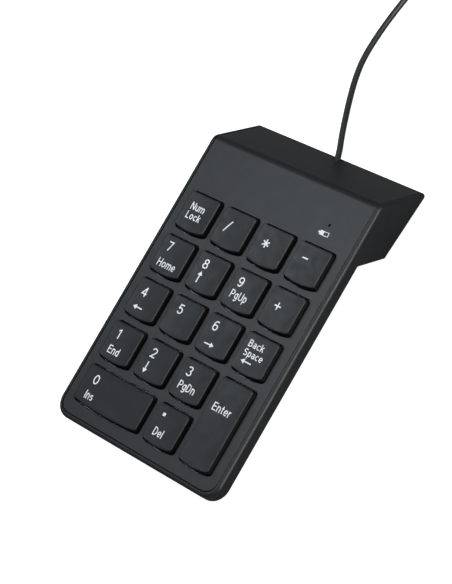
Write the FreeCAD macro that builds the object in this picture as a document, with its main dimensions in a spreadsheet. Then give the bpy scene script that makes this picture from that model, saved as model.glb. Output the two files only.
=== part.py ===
import FreeCAD, Part
import math
import os
import Sketcher
from FreeCAD import Vector, Placement, Rotation

# Wired numeric keypad with 18 keys.  Millimetres.
# Two frames are used.  The deck frame has X right, Y to the rear and Z square to the
# deck, with Z = 0 on the deck's face and the origin at the middle of the third key row.
# The desk frame is the file's own: Z up, Z = 0 on the desk, the housing centred on X and Y.
# The deck leans forward in it by "tilt".

doc = FreeCAD.newDocument("numeric_keypad")
sheet = doc.addObject("Spreadsheet::Sheet", "Params")

CELLS = [
    # housing
    ("tilt", 6.0, "lean of the deck, degrees"),
    ("case_width", 86.0, "outer width"),
    ("case_front", 53.6, "front face ahead of the deck origin"),
    ("slab_depth", 6.0, "depth of the thin front part"),
    ("bend_y", 68.4, "top of the rear slope"),
    ("heel_y", 83.7, "foot of the rear slope"),
    ("heel_z", 21.2, "foot of the rear slope below the deck"),
    ("toe_y", 54.5, "front lower edge of the rear foot"),
    ("toe_z", 18.13, "front lower edge of the rear foot below the deck"),
    ("knee_y", 45.8, "where the foot leaves the slab"),
    ("corner_round", 7.0, "front corner radius in plan"),
    ("bend_round", 3.6, "radius over the rear bend"),
    ("rim_round", 1.3, "radius of the rim's outer edge"),
    ("foot_round", 0.6, "radius of the lower outer edges"),
    ("wall", 1.5, "cover thickness"),
    ("rim", 2.0, "rim width outside the cover"),
    ("seam", 0.28, "gap between cover and rim"),
    ("ledge", 1.55, "shelf that the cover rests on"),
    ("floor_z", 4.8, "inner floor of the slab below the deck"),
    # rear foot, inner lines
    ("turn_y", 67.63, "inner corner of the cover's bend"),
    ("lip_y", 80.52, "inner foot of the cover's slope"),
    ("lip_z", 19.357, "inner foot of the cover's slope below the deck"),
    ("edge_y", 82.52, "outer foot of the cover's slope"),
    ("edge_z", 19.566, "outer foot of the cover's slope below the deck"),
    ("pit_y", 55.2, "front of the foot's inner floor"),
    ("pit_z", 16.7, "front of the foot's inner floor below the deck"),
    ("pit_top_y", 46.7, "where the foot's cavity leaves the slab's"),
    ("beyond", 90.0, "a distance past the rear"),
    ("past_z", 20.353, "inner floor line carried past the rear"),
    # keys
    ("pitch", 19.0, "key spacing both ways"),
    ("key_width", 15.2, "single key's top, width"),
    ("key_length", 14.4, "single key's top, length at its sides"),
    ("bow", 1.1, "bulge of a key's front edge"),
    ("key_rise", 2.1, "key top above the deck"),
    ("draft", 0.3, "spread of a key from its top to the deck"),
    ("bevel", 0.25, "soft edge round a key's top"),
    ("key_round", 1.1, "key corner radius at the deck"),
    ("gap", 0.4, "gap round a key"),
    ("skin", 0.9, "key wall"),
    ("crown", 1.1, "key top thickness"),
    ("skirt", 1.95, "key skirt below the deck"),
    ("tab_reach", 0.8, "stop tab past the skirt"),
    ("tab_high", 0.4, "stop tab height"),
    ("tab_long", 5.0, "stop tab length"),
    ("stem_radius", 2.1, "stem over the dome"),
    ("stem_foot", 1.45, "stem foot below the deck"),
    ("travel", 2.0, "key travel"),
    # domes and contact sheets
    ("sheet_thick", 0.1, "one contact sheet"),
    ("dome_base", 4.0, "dome flange radius"),
    ("dome_top", 2.3, "dome top radius"),
    ("dome_high", 3.0, "dome height"),
    # stabiliser wires
    ("wire", 1.0, "wire diameter"),
    ("wire_arm", 8.0, "wire arm"),
    ("wire_drop", 1.0, "bar above its pivots"),
    ("pivot_z", 2.6, "wire pivots below the deck"),
    ("pivot_off", 2.8, "wire pivots from the key's middle"),
    ("pivot_half", 12.0, "posts from the key's middle"),
    ("clip_half", 8.6, "key clips from the key's middle"),
    # fasteners
    ("boss_radius", 1.7, "screw boss"),
    ("rear_boss", 2.5, "rear screw boss"),
    ("shaft_radius", 0.7, "screw shaft"),
    ("shaft_long", 3.1, "screw shaft length"),
    ("head_radius", 1.5, "screw head"),
    ("head_high", 0.6, "screw head height"),
    ("rear_seat", 10.2, "rear screw seat below the deck"),
    ("rear_x", 34.5, "rear screws from the middle"),
    ("rear_y", 60.0, "rear screws"),
    # electronics
    ("board_x", 31.0, "half the board's width"),
    ("board_front", 50.0, "board's front edge"),
    ("board_rear", 65.0, "board's rear edge"),
    ("board_thick", 1.2, "board thickness"),
    ("lamp_x", 27.06, "indicator lamp"),
    ("lamp_y", 54.48, "indicator lamp"),
    ("lamp_radius", 0.55, "light pipe"),
    ("clamp_screw_x", 24.0, "clamp screws from the middle"),
    ("clamp_y", 59.0, "clamp middle"),
    # feet
    ("foot_half", 5.0, "half a front foot's width"),
    ("pad_half", 7.0, "half a rear foot's width"),
    ("pad_thick", 0.6, "rear foot thickness"),
    # cable
    ("cord", 2.4, "cable diameter"),
    ("port_y", 82.06, "cable opening on the slope"),
    ("port_z", 19.017, "cable opening below the deck"),
    ("port_x", 0.6, "cable opening"),
    ("port_radius", 1.55, "cable opening"),
    ("port_swing", 20.7, "how far the cable leaves to the left of straight back, degrees"),
    # where the deck frame sits over the desk
    ("rest_y", -15.77, "shift along Y"),
    ("rest_z", 12.935, "height of the deck origin over the desk"),
]
for i, (name, value, note) in enumerate(CELLS, 1):
    sheet.set(f"A{i}", name)
    sheet.set(f"B{i}", str(value))
    sheet.set(f"C{i}", note)
    sheet.setAlias(f"B{i}", name)
doc.recompute()


class Q:
    """A number together with the sheet expression it comes from."""

    def __init__(self, v, e=None):
        self.v = float(v)
        self.e = e if e is not None else repr(float(v))

    def _two(self, o, f, mark):
        o = o if isinstance(o, Q) else Q(o)
        return Q(f(self.v, o.v), f"({self.e} {mark} {o.e})")

    def __add__(self, o):
        return self._two(o, lambda a, b: a + b, "+")

    def __radd__(self, o):
        return Q(o) + self

    def __sub__(self, o):
        return self._two(o, lambda a, b: a - b, "-")

    def __rsub__(self, o):
        return Q(o) - self

    def __mul__(self, o):
        return self._two(o, lambda a, b: a * b, "*")

    def __rmul__(self, o):
        return Q(o) * self

    def __truediv__(self, o):
        return self._two(o, lambda a, b: a / b, "/")

    def __neg__(self):
        return Q(-self.v, f"(0 - {self.e})")


S = {n: Q(float(getattr(sheet, n)), "Params." + n) for n, _, _ in CELLS}
NODES = []


def q(x):
    return x if isinstance(x, Q) else Q(x)


def bind(obj, prop, value):
    if isinstance(value, Q):
        obj.setExpression(prop, value.e)


def desk(x, y, z):
    a = math.radians(S["tilt"].v)
    return Vector(
        x,
        y * math.cos(a) - z * math.sin(a) + S["rest_y"].v,
        y * math.sin(a) + z * math.cos(a) + S["rest_z"].v,
    )


def on_deck(x=0.0, y=0.0, z=0.0):
    return Placement(desk(x, y, z), Rotation(Vector(1, 0, 0), S["tilt"].v))


def new_body(label, place):
    body = doc.addObject("PartDesign::Body", "Body_" + label)
    body.Label = label
    body.Placement = place
    NODES.append(body)
    return body


def axis_plane(body, role):
    for f in body.Origin.OriginFeatures:
        if f.Role == role:
            return f


def sketch(body, name, role="XY_Plane", at=(0, 0, 0), turn=None):
    sk = body.newObject("Sketcher::SketchObject", name)
    sk.AttachmentSupport = [(axis_plane(body, role), "")]
    sk.MapMode = "FlatFace"
    at = [q(c) for c in at]
    rot = turn if turn is not None else Rotation()
    sk.AttachmentOffset = Placement(Vector(at[0].v, at[1].v, at[2].v), rot)
    for c, axis in zip(at, "xyz"):
        if "Params" in c.e:
            bind(sk, f"AttachmentOffset.Base.{axis}", c)
    return sk


def pin(sk, geo, pos, x, y):
    """Ties one point to the sketch's origin by two sizes."""
    for c, kind, line in ((q(x), "DistanceX", -2), (q(y), "DistanceY", -1)):
        if abs(c.v) < 1e-9:
            sk.addConstraint(Sketcher.Constraint("PointOnObject", geo, pos, line))
        elif c.v > 0:
            i = sk.addConstraint(Sketcher.Constraint(kind, -1, 1, geo, pos, c.v))
            if "Params" in c.e:
                sk.setExpression(f"Constraints[{i}]", c.e)
        else:
            i = sk.addConstraint(Sketcher.Constraint(kind, geo, pos, -1, 1, -c.v))
            if "Params" in c.e:
                sk.setExpression(f"Constraints[{i}]", (-c).e)


def size(sk, kind, geo, value):
    value = q(value)
    i = sk.addConstraint(Sketcher.Constraint(kind, geo, value.v))
    if "Params" in value.e:
        sk.setExpression(f"Constraints[{i}]", value.e)


def poly(sk, pts):
    pts = [(q(a), q(b)) for a, b in pts]
    first = None
    n = len(pts)
    for k in range(n):
        a, b = pts[k], pts[(k + 1) % n]
        g = sk.addGeometry(
            Part.LineSegment(Vector(a[0].v, a[1].v, 0), Vector(b[0].v, b[1].v, 0))
        )
        first = g if first is None else first
    for k in range(n):
        sk.addConstraint(
            Sketcher.Constraint("Coincident", first + k, 2, first + (k + 1) % n, 1)
        )
    for k in range(n):
        pin(sk, first + k, 1, pts[k][0], pts[k][1])


def box(sk, x0, x1, y0, y1):
    poly(sk, [(x0, y0), (x1, y0), (x1, y1), (x0, y1)])


def circle(sk, x, y, r):
    x, y, r = q(x), q(y), q(r)
    g = sk.addGeometry(Part.Circle(Vector(x.v, y.v, 0), Vector(0, 0, 1), r.v))
    pin(sk, g, 3, x, y)
    size(sk, "Radius", g, r)


def arc(cx, cy, r, a0, a1):
    return Part.ArcOfCircle(Part.Circle(Vector(cx, cy, 0), Vector(0, 0, 1), r), a0, a1)


def chain(sk, first, n):
    for k in range(n):
        sk.addConstraint(
            Sketcher.Constraint("Tangent", first + k, 2, first + (k + 1) % n, 1)
        )


def round_box(sk, x0, x1, y0, y1, r):
    """Rectangle with round corners."""
    x0, x1, y0, y1, r = (q(c) for c in (x0, x1, y0, y1, r))
    a, b, c, d, e = x0.v, x1.v, y0.v, y1.v, r.v
    h = math.pi / 2
    g = sk.addGeometry(
        [
            Part.LineSegment(Vector(b, c + e, 0), Vector(b, d - e, 0)),
            arc(b - e, d - e, e, 0, h),
            Part.LineSegment(Vector(b - e, d, 0), Vector(a + e, d, 0)),
            arc(a + e, d - e, e, h, 2 * h),
            Part.LineSegment(Vector(a, d - e, 0), Vector(a, c + e, 0)),
            arc(a + e, c + e, e, 2 * h, 3 * h),
            Part.LineSegment(Vector(a + e, c, 0), Vector(b - e, c, 0)),
            arc(b - e, c + e, e, 3 * h, 4 * h),
        ]
    )[0]
    chain(sk, g, 8)
    for k, kind in ((0, "Vertical"), (4, "Vertical"), (2, "Horizontal"), (6, "Horizontal")):
        sk.addConstraint(Sketcher.Constraint(kind, g + k))
    for k in (1, 3, 5, 7):
        size(sk, "Radius", g + k, r)
    side(sk, g, 1, x1, "DistanceX")
    side(sk, g + 4, 1, x0, "DistanceX")
    side(sk, g + 2, 1, y1, "DistanceY")
    side(sk, g + 6, 1, y0, "DistanceY")


def side(sk, geo, pos, c, kind):
    if c.v > 0:
        i = sk.addConstraint(Sketcher.Constraint(kind, -1, 1, geo, pos, c.v))
        e = c.e
    else:
        i = sk.addConstraint(Sketcher.Constraint(kind, geo, pos, -1, 1, -c.v))
        e = (-c).e
    if "Params" in e:
        sk.setExpression(f"Constraints[{i}]", e)


def smile(sk, w, l, grow, r):
    """A key's outline: straight rear and sides, front edge bulging forward."""
    X = q(w) / 2 + grow
    Y = q(l) / 2 + grow
    r = q(r)
    bow = S["bow"]
    R = (X * X + bow * bow) / (bow * 2)
    C = R - Y - bow
    x, y, e, rr, cy = X.v, Y.v, r.v, R.v, C.v
    yc = cy - math.sqrt((rr - e) ** 2 - (x - e) ** 2)
    th = math.atan2(yc - cy, x - e)  # from the bulge's centre to the corner's
    h = math.pi / 2
    tx, ty = rr * math.cos(th), cy + rr * math.sin(th)
    g = sk.addGeometry(
        [
            Part.LineSegment(Vector(x, yc, 0), Vector(x, y - e, 0)),
            arc(x - e, y - e, e, 0, h),
            Part.LineSegment(Vector(x - e, y, 0), Vector(-x + e, y, 0)),
            arc(-x + e, y - e, e, h, 2 * h),
            Part.LineSegment(Vector(-x, y - e, 0), Vector(-x, yc, 0)),
            arc(-x + e, yc, e, 2 * h, 3 * math.pi - (th + 2 * math.pi)),
            arc(0, cy, rr, math.pi - th - 2 * math.pi + 2 * math.pi, th + 2 * math.pi),
            arc(x - e, yc, e, th + 2 * math.pi, 4 * h),
        ]
    )[0]
    chain(sk, g, 8)
    for k, kind in ((0, "Vertical"), (4, "Vertical"), (2, "Horizontal")):
        sk.addConstraint(Sketcher.Constraint(kind, g + k))
    for k in (1, 3, 5, 7):
        size(sk, "Radius", g + k, r)
    size(sk, "Radius", g + 6, R)
    side(sk, g, 1, X, "DistanceX")
    side(sk, g + 4, 1, -X, "DistanceX")
    side(sk, g + 2, 1, Y, "DistanceY")
    pin(sk, g + 6, 3, 0.0, C)


def volume(body):
    doc.recompute()
    return body.Shape.Volume


def pad(body, sk, length, both=False, back=False):
    f = body.newObject("PartDesign::Pad", "Pad_" + sk.Name)
    f.Profile = sk
    length = q(length)
    f.Length = length.v
    bind(f, "Length", length)
    if both:
        f.Midplane = True
    f.Reversed = back
    before = body.Shape.Volume if len(body.Group) > 2 else 0.0
    after = volume(body)
    if after <= before + 1e-6:
        raise RuntimeError(f"{body.Label}: {f.Name} adds nothing")
    return f


def pocket(body, sk, length=None, both=False, back=False):
    f = body.newObject("PartDesign::Pocket", "Pocket_" + sk.Name)
    f.Profile = sk
    if length is None:
        f.Type = "ThroughAll"
    else:
        length = q(length)
        f.Length = length.v
        bind(f, "Length", length)
    if both:
        f.Midplane = True
    f.Reversed = back
    before = f.BaseFeature.Shape.Volume if f.BaseFeature else 0.0
    after = volume(body)
    if after >= before - 1e-6:
        raise RuntimeError(f"{body.Label}: {f.Name} cuts nothing")
    return f


def fillet(body, base, radius, test):
    names = [f"Edge{i + 1}" for i, e in enumerate(base.Shape.Edges) if test(e)]
    if not names:
        raise RuntimeError(f"{body.Label}: no edge to round")
    f = body.newObject("PartDesign::Fillet", "Fillet_" + base.Name)
    f.Base = (base, names)
    radius = q(radius)
    f.Radius = radius.v
    bind(f, "Radius", radius)
    doc.recompute()
    if f.Shape.isNull() or not f.Shape.isValid() or "Invalid" in f.State:
        raise RuntimeError(f"{body.Label}: {f.Name} failed on {names}")
    return f


def mid(e):
    return e.valueAt((e.FirstParameter + e.LastParameter) / 2)


def near(a, b, tol=0.02):
    return abs(a - b) < tol


# The cable's way out: level on the desk, swung to the left of straight back.
UPRIGHT = Rotation(Vector(1, 0, 0), 90)
PORT_TURN = (
    UPRIGHT.inverted()
    * Rotation(Vector(1, 0, 0), -S["tilt"].v)
    * Rotation(Vector(0, 0, 1), S["port_swing"].v)
    * UPRIGHT
)

# ---------------------------------------------------------------- layout
# label, column centre and row centre in steps of the pitch, columns, rows
KEYS = [
    ("num_lock", -1.5, 2.0, 1, 1),
    ("divide", -0.5, 2.0, 1, 1),
    ("multiply", 0.5, 2.0, 1, 1),
    ("subtract", 1.5, 2.0, 1, 1),
    ("7", -1.5, 1.0, 1, 1),
    ("8", -0.5, 1.0, 1, 1),
    ("9", 0.5, 1.0, 1, 1),
    ("add", 1.5, 1.0, 1, 1),
    ("4", -1.5, 0.0, 1, 1),
    ("5", -0.5, 0.0, 1, 1),
    ("6", 0.5, 0.0, 1, 1),
    ("backspace", 1.5, 0.0, 1, 1),
    ("1", -1.5, -1.0, 1, 1),
    ("2", -0.5, -1.0, 1, 1),
    ("3", 0.5, -1.0, 1, 1),
    ("enter", 1.5, -1.5, 1, 2),
    ("0", -1.0, -2.0, 2, 1),
    ("decimal", 0.5, -2.0, 1, 1),
]
FRONT_SCREWS = [(-1.0, 1.5), (1.0, 1.5), (-1.0, -0.5), (1.0, -0.5), (0.0, -1.5)]


def key_size(columns, rows):
    return (
        S["key_width"] + S["pitch"] * (columns - 1),
        S["key_length"] + S["pitch"] * (rows - 1),
    )


# ---------------------------------------------------------------- bottom case
half = S["case_width"] / 2
case = new_body("bottom_case", on_deck())
sk = sketch(case, "case_profile", "YZ_Plane")
poly(
    sk,
    [
        (-S["case_front"], 0),
        (-S["case_front"], -S["slab_depth"]),
        (S["knee_y"], -S["slab_depth"]),
        (S["toe_y"], -S["toe_z"]),
        (S["heel_y"], -S["heel_z"]),
        (S["bend_y"], 0),
    ],
)
f = pad(case, sk, S["case_width"], both=True)
f = fillet(
    case,
    f,
    S["corner_round"],
    lambda e: near(mid(e).y, -S["case_front"].v) and near(mid(e).z, -S["slab_depth"].v / 2),
)
f = fillet(
    case,
    f,
    S["bend_round"],
    lambda e: near(mid(e).y, S["bend_y"].v) and near(mid(e).z, 0),
)
f = fillet(
    case,
    f,
    S["rim_round"],
    lambda e: (near(mid(e).z, 0) and not near(mid(e).x, 0, 1.0))
    or (near(mid(e).z, 0) and near(mid(e).y, -S["case_front"].v))
    or (near(abs(mid(e).x), half.v) and mid(e).y > 66.0 and mid(e).z > -14.0),
)
f = fillet(
    case,
    f,
    S["foot_round"],
    lambda e: (near(mid(e).z, -S["slab_depth"].v) and mid(e).y < S["knee_y"].v - 1)
    or (near(abs(mid(e).x), half.v) and mid(e).z < -S["slab_depth"].v - 1 and mid(e).y < 70.0)
    or (near(mid(e).y, S["toe_y"].v) and near(mid(e).z, -S["toe_z"].v)),
)

recess = half - S["rim"] + S["seam"]
inner = recess - S["ledge"]
sk = sketch(case, "cover_recess")
round_box(
    sk, -recess, recess, S["rim"] - S["seam"] - S["case_front"], S["beyond"],
    S["corner_round"] - S["rim"] + S["seam"],
)
pocket(case, sk, S["wall"])
sk = sketch(case, "slope_recess", "YZ_Plane")
poly(
    sk,
    [
        (S["turn_y"], 2.0),
        (S["turn_y"], -S["wall"]),
        (S["lip_y"], -S["lip_z"]),
        (S["beyond"], -S["past_z"]),
        (S["beyond"], 2.0),
    ],
)
pocket(case, sk, recess * 2, both=True)
sk = sketch(case, "slab_cavity")
round_box(
    sk, -inner, inner, S["rim"] - S["seam"] + S["ledge"] - S["case_front"], 60.0,
    S["corner_round"] - S["rim"] + S["seam"] - S["ledge"],
)
pocket(case, sk, S["floor_z"])
sk = sketch(case, "foot_cavity", "YZ_Plane")
poly(
    sk,
    [
        (S["pit_top_y"], -1.0),
        (S["pit_top_y"], -S["floor_z"]),
        (S["pit_y"], -S["pit_z"]),
        (S["lip_y"], -S["lip_z"]),
        (S["turn_y"], -S["wall"]),
        (S["turn_y"], -1.0),
    ],
)
pocket(case, sk, inner * 2, both=True)
# posts that hold the stabiliser wires
px = {"0": (-1.0, -2.0), "enter": (1.5, -1.5)}
post_top = 1.4
sk = sketch(case, "wire_posts", at=(0, 0, -S["floor_z"] - 0.2))
for s in (-1, 1):
    cx = S["pitch"] * px["0"][0] + S["pivot_half"] * s
    cy = S["pitch"] * px["0"][1] - S["pivot_off"]
    box(sk, cx - 0.9, cx + 0.9, cy - 1.3, cy + 1.3)
    cx = S["pitch"] * px["enter"][0] - S["pivot_off"]
    cy = S["pitch"] * px["enter"][1] + S["pivot_half"] * s
    box(sk, cx - 1.3, cx + 1.3, cy - 0.9, cy + 0.9)
pad(case, sk, S["floor_z"] + 0.2 - post_top)
hole = S["wire"] / 2 + 0.08
sk = sketch(case, "wire_holes_0", "YZ_Plane", at=(0, 0, S["pitch"] * px["0"][0]))
circle(sk, S["pitch"] * px["0"][1] - S["pivot_off"], -S["pivot_z"], hole)
pocket(case, sk, 30.0, both=True)
sk = sketch(case, "wire_holes_enter", "XZ_Plane", at=(0, 0, -(S["pitch"] * px["enter"][1])))
circle(sk, S["pitch"] * px["enter"][0] - S["pivot_off"], -S["pivot_z"], hole)
pocket(case, sk, 30.0, both=True)
# towers for the board and for the rear screws, standing on the foot's floor
sk = sketch(case, "board_towers", at=(0, 0, -17.6))
for s in (-1, 1):
    circle(sk, S["clamp_screw_x"] * s, S["clamp_y"], 2.3)
pad(case, sk, 17.6 - S["floor_z"] - S["board_thick"])
sk = sketch(case, "rear_towers", at=(0, 0, -17.7))
for s in (-1, 1):
    circle(sk, S["rear_x"] * s, S["rear_y"], S["rear_boss"] + 0.3)
pad(case, sk, 17.7 - (S["rear_seat"] - 1.2))
sk = sketch(case, "board_tower_holes", at=(0, 0, -S["floor_z"] - S["board_thick"]))
for s in (-1, 1):
    circle(sk, S["clamp_screw_x"] * s, S["clamp_y"], 0.9)
pocket(case, sk, 6.0)
sk = sketch(case, "rear_wells", at=(0, 0, -S["rear_seat"]))
for s in (-1, 1):
    circle(sk, S["rear_x"] * s, S["rear_y"], S["head_radius"] + 0.25)
pocket(case, sk, 12.0)
sk = sketch(case, "rear_shaft_holes", at=(0, 0, -S["rear_seat"] + 2.0))
for s in (-1, 1):
    circle(sk, S["rear_x"] * s, S["rear_y"], S["shaft_radius"] + 0.15)
pocket(case, sk, 4.0)
# front screws enter from below through the slab's floor
sk = sketch(case, "head_wells", at=(0, 0, -S["slab_depth"] + 0.7))
for c, r in FRONT_SCREWS:
    circle(sk, S["pitch"] * c, S["pitch"] * r, S["head_radius"] + 0.15)
pocket(case, sk, 3.0)
sk = sketch(case, "shaft_holes", at=(0, 0, -S["floor_z"] + 0.4))
for c, r in FRONT_SCREWS:
    circle(sk, S["pitch"] * c, S["pitch"] * r, S["shaft_radius"] + 0.15)
pocket(case, sk, 3.0)
# opening for the cable at the foot of the slope
sk = sketch(case, "cable_port", "XZ_Plane", at=(S["port_x"], -S["port_z"], -S["port_y"]), turn=PORT_TURN)
circle(sk, 0, 0, S["port_radius"])
pocket(case, sk, 16.0, both=True)

# ---------------------------------------------------------------- top cover
cover = new_body("top_cover", on_deck())
cw = half - S["rim"]
sk = sketch(cover, "cover_profile", "YZ_Plane")
front = S["rim"] - S["case_front"]
poly(
    sk,
    [
        (front, 0),
        (front, -S["wall"]),
        (S["turn_y"], -S["wall"]),
        (S["lip_y"], -S["lip_z"]),
        (S["edge_y"], -S["edge_z"]),
        (S["bend_y"], 0),
    ],
)
f = pad(cover, sk, cw * 2, both=True)
f = fillet(
    cover, f, S["corner_round"] - S["rim"],
    lambda e: near(mid(e).y, front.v) and near(mid(e).z, -S["wall"].v / 2),
)
f = fillet(
    cover, f, S["bend_round"],
    lambda e: near(mid(e).y, S["bend_y"].v) and near(mid(e).z, 0),
)
f = fillet(
    cover, f, 0.3,
    lambda e: near(mid(e).z, 0) and (abs(mid(e).x) > 35 or near(mid(e).y, front.v)),
)
for name, c, r, columns, rows in KEYS:
    w, l = key_size(columns, rows)
    sk = sketch(cover, "window_" + name, at=(S["pitch"] * c, S["pitch"] * r, 0))
    smile(sk, w, l, S["draft"] + S["gap"], S["key_round"] + S["gap"])
    pocket(cover, sk, S["wall"] + 0.5)
sk = sketch(cover, "bosses", at=(0, 0, -S["floor_z"]))
for c, r in FRONT_SCREWS:
    circle(sk, S["pitch"] * c, S["pitch"] * r, S["boss_radius"])
pad(cover, sk, S["floor_z"] - 1.4)
sk = sketch(cover, "rear_bosses", at=(0, 0, -(S["rear_seat"] - 1.2)))
for s in (-1, 1):
    circle(sk, S["rear_x"] * s, S["rear_y"], S["rear_boss"])
pad(cover, sk, S["rear_seat"] - 1.2 - 1.4)
sk = sketch(cover, "pilot_holes", at=(0, 0, -(S["rear_seat"] - 3.4) + 5.0))
for c, r in FRONT_SCREWS:
    circle(sk, S["pitch"] * c, S["pitch"] * r, S["shaft_radius"] + 0.05)
pocket(cover, sk, 9.0)
sk = sketch(cover, "rear_pilot_holes", at=(0, 0, -(S["rear_seat"] - 5.2)))
for s in (-1, 1):
    circle(sk, S["rear_x"] * s, S["rear_y"], S["shaft_radius"] + 0.05)
pocket(cover, sk, 9.0)
sk = sketch(cover, "lamp_hole")
circle(sk, S["lamp_x"], S["lamp_y"], S["lamp_radius"] + 0.05)
pocket(cover, sk, S["wall"] + 0.5)
sk = sketch(cover, "cable_notch", "XZ_Plane", at=(S["port_x"], -S["port_z"], -S["port_y"]), turn=PORT_TURN)
circle(sk, 0, 0, S["port_radius"])
pocket(cover, sk, 12.0, both=True)

# ---------------------------------------------------------------- contact sheets
def contact_sheet(label, level, spots):
    body = new_body(label, on_deck())
    sk = sketch(body, label + "_outline", at=(0, 0, -S["floor_z"] + S["sheet_thick"] * level))
    poly(
        sk,
        [
            (-36.5, -49.4), (36.5, -49.4), (39.2, -46.8), (39.2, 46.0), (9.0, 46.0),
            (9.0, 63.0), (-9.0, 63.0), (-9.0, 46.0), (-39.2, 46.0), (-39.2, -46.8),
        ],
    )
    for c, r in FRONT_SCREWS:
        circle(sk, S["pitch"] * c, S["pitch"] * r, S["boss_radius"] + 0.3)
    for s in (-1, 1):
        circle(sk, S["pitch"] * px["0"][0] + S["pivot_half"] * s,
               S["pitch"] * px["0"][1] - S["pivot_off"], 1.8)
        circle(sk, S["pitch"] * px["enter"][0] - S["pivot_off"],
               S["pitch"] * px["enter"][1] + S["pivot_half"] * s, 1.8)
    if spots:
        for name, c, r, columns, rows in KEYS:
            circle(sk, S["pitch"] * c, S["pitch"] * r, 2.2)
    pad(body, sk, S["sheet_thick"])


contact_sheet("membrane_bottom", 0, False)
contact_sheet("membrane_spacer", 1, True)
contact_sheet("membrane_top", 2, False)

# ---------------------------------------------------------------- keys and domes
def keycap(name, c, r, columns, rows):
    w, l = key_size(columns, rows)
    body = new_body("key_" + name, on_deck(S["pitch"].v * c, S["pitch"].v * r))
    lower = sketch(body, f"k{name}_deck")
    smile(lower, w, l, S["draft"], S["key_round"])
    upper = sketch(body, f"k{name}_shoulder", at=(0, 0, S["key_rise"] - S["bevel"]))
    smile(upper, w, l, Q(0.0), S["key_round"] - 0.2)
    tip = sketch(body, f"k{name}_face", at=(0, 0, S["key_rise"]))
    smile(tip, w, l, -S["bevel"], S["key_round"] - 0.2 - S["bevel"])
    loft = body.newObject("PartDesign::AdditiveLoft", f"Loft_{name}")
    loft.Profile = lower
    loft.Sections = [upper, tip]
    loft.Ruled = True
    doc.recompute()
    foot = sketch(body, f"k{name}_skirt")
    smile(foot, w, l, S["draft"], S["key_round"])
    pad(body, foot, S["skirt"], back=True)
    hollow = sketch(body, f"k{name}_hollow", at=(0, 0, -S["skirt"]))
    smile(hollow, w, l, S["draft"] - S["skin"], 0.4)
    pocket(body, hollow, S["skirt"] + S["key_rise"] - S["crown"], back=True)
    stem = sketch(body, f"k{name}_stem", at=(0, 0, -S["stem_foot"]))
    circle(stem, 0, 0, S["stem_radius"])
    pad(body, stem, S["stem_foot"] + S["key_rise"] - S["crown"] + 0.1)
    # stop tabs that catch under the cover
    tabs = sketch(body, f"k{name}_tabs", at=(0, 0, -S["skirt"]))
    X = w / 2 + S["draft"]
    Y = l / 2 + S["draft"]
    th = S["tab_long"] / 2
    rows_at = [0.0] if rows == 1 else [-9.5, 9.5]
    for at in rows_at:
        for s in (-1, 1):
            xs = (X - 0.5, X + S["tab_reach"]) if s > 0 else (-X - S["tab_reach"], -X + 0.5)
            box(tabs, xs[0], xs[1], Q(at) - th, Q(at) + th)
    pad(body, tabs, S["tab_high"])
    if name in ("0", "enter"):
        # clips for the stabiliser wire, hanging from the key's underside
        bar = S["wire_arm"] - S["pivot_off"]
        clip = sketch(body, f"k{name}_clips", at=(0, 0, -(S["pivot_z"] - 0.3)))
        end = (Y if name == "0" else X) - S["skin"] + 0.3
        for s in (-1, 1):
            a0, a1 = S["clip_half"] * s - 0.8, S["clip_half"] * s + 0.8
            if name == "0":
                box(clip, a0, a1, bar - 1.45, end)
            else:
                box(clip, bar - 1.45, end, a0, a1)
        pad(body, clip, S["pivot_z"] - 0.3 + S["key_rise"] - S["crown"] + 0.1)
        slot = sketch(body, f"k{name}_slots", at=(0, 0, -(S["pivot_z"] - 0.3)))
        for s in (-1, 1):
            a0, a1 = S["clip_half"] * s - 1.2, S["clip_half"] * s + 1.2
            lo, hi = bar - S["wire"] / 2 - 0.15, bar + S["wire"] / 2 + 0.15
            if name == "0":
                box(slot, a0, a1, lo, hi)
            else:
                box(slot, lo, hi, a0, a1)
        top = S["pivot_z"] - S["wire_drop"] - S["wire"] / 2 - 0.15
        pocket(body, slot, S["pivot_z"] - 0.3 - top, back=True)


def dome(name, c, r):
    body = new_body("dome_" + name, on_deck(S["pitch"].v * c, S["pitch"].v * r))
    base = -S["floor_z"] + S["sheet_thick"] * 3
    sk = sketch(body, f"d{name}_section", "XZ_Plane")
    b, t, hh = S["dome_base"], S["dome_top"], S["dome_high"]
    poly(
        sk,
        [
            (b - 1.3, base), (b, base), (b, base + 0.3), (b - 0.8, base + 0.3),
            (t, base + hh), (0, base + hh), (0, base + hh - 0.8), (t - 0.6, base + hh - 0.8),
        ],
    )
    f = body.newObject("PartDesign::Revolution", f"Turn_{name}")
    f.Profile = sk
    f.ReferenceAxis = (sk, ["V_Axis"])
    f.Angle = 360.0
    doc.recompute()


for name, c, r, columns, rows in KEYS:
    keycap(name, c, r, columns, rows)
    dome(name, c, r)

# ---------------------------------------------------------------- board, clamp, lamp
board = new_body("controller_board", on_deck())
sk = sketch(board, "board_outline", at=(0, 0, -S["floor_z"] - S["board_thick"]))
box(sk, -S["board_x"], S["board_x"], S["board_front"], S["board_rear"])
for s in (-1, 1):
    circle(sk, S["clamp_screw_x"] * s, S["clamp_y"], 1.1)
pad(board, sk, S["board_thick"])

chip = new_body("controller_chip", on_deck(17.0, 53.2))
sk = sketch(chip, "chip_outline", at=(0, 0, -S["floor_z"] + 0.15))
box(sk, -3.0, 3.0, -1.3, 1.3)
pad(chip, sk, 1.0)
sk = sketch(chip, "chip_legs", at=(0, 0, -S["floor_z"]))
for k in range(4):
    x = -2.25 + 1.5 * k
    box(sk, x - 0.2, x + 0.2, -2.0, 2.0)
pad(chip, sk, 0.3)

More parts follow.
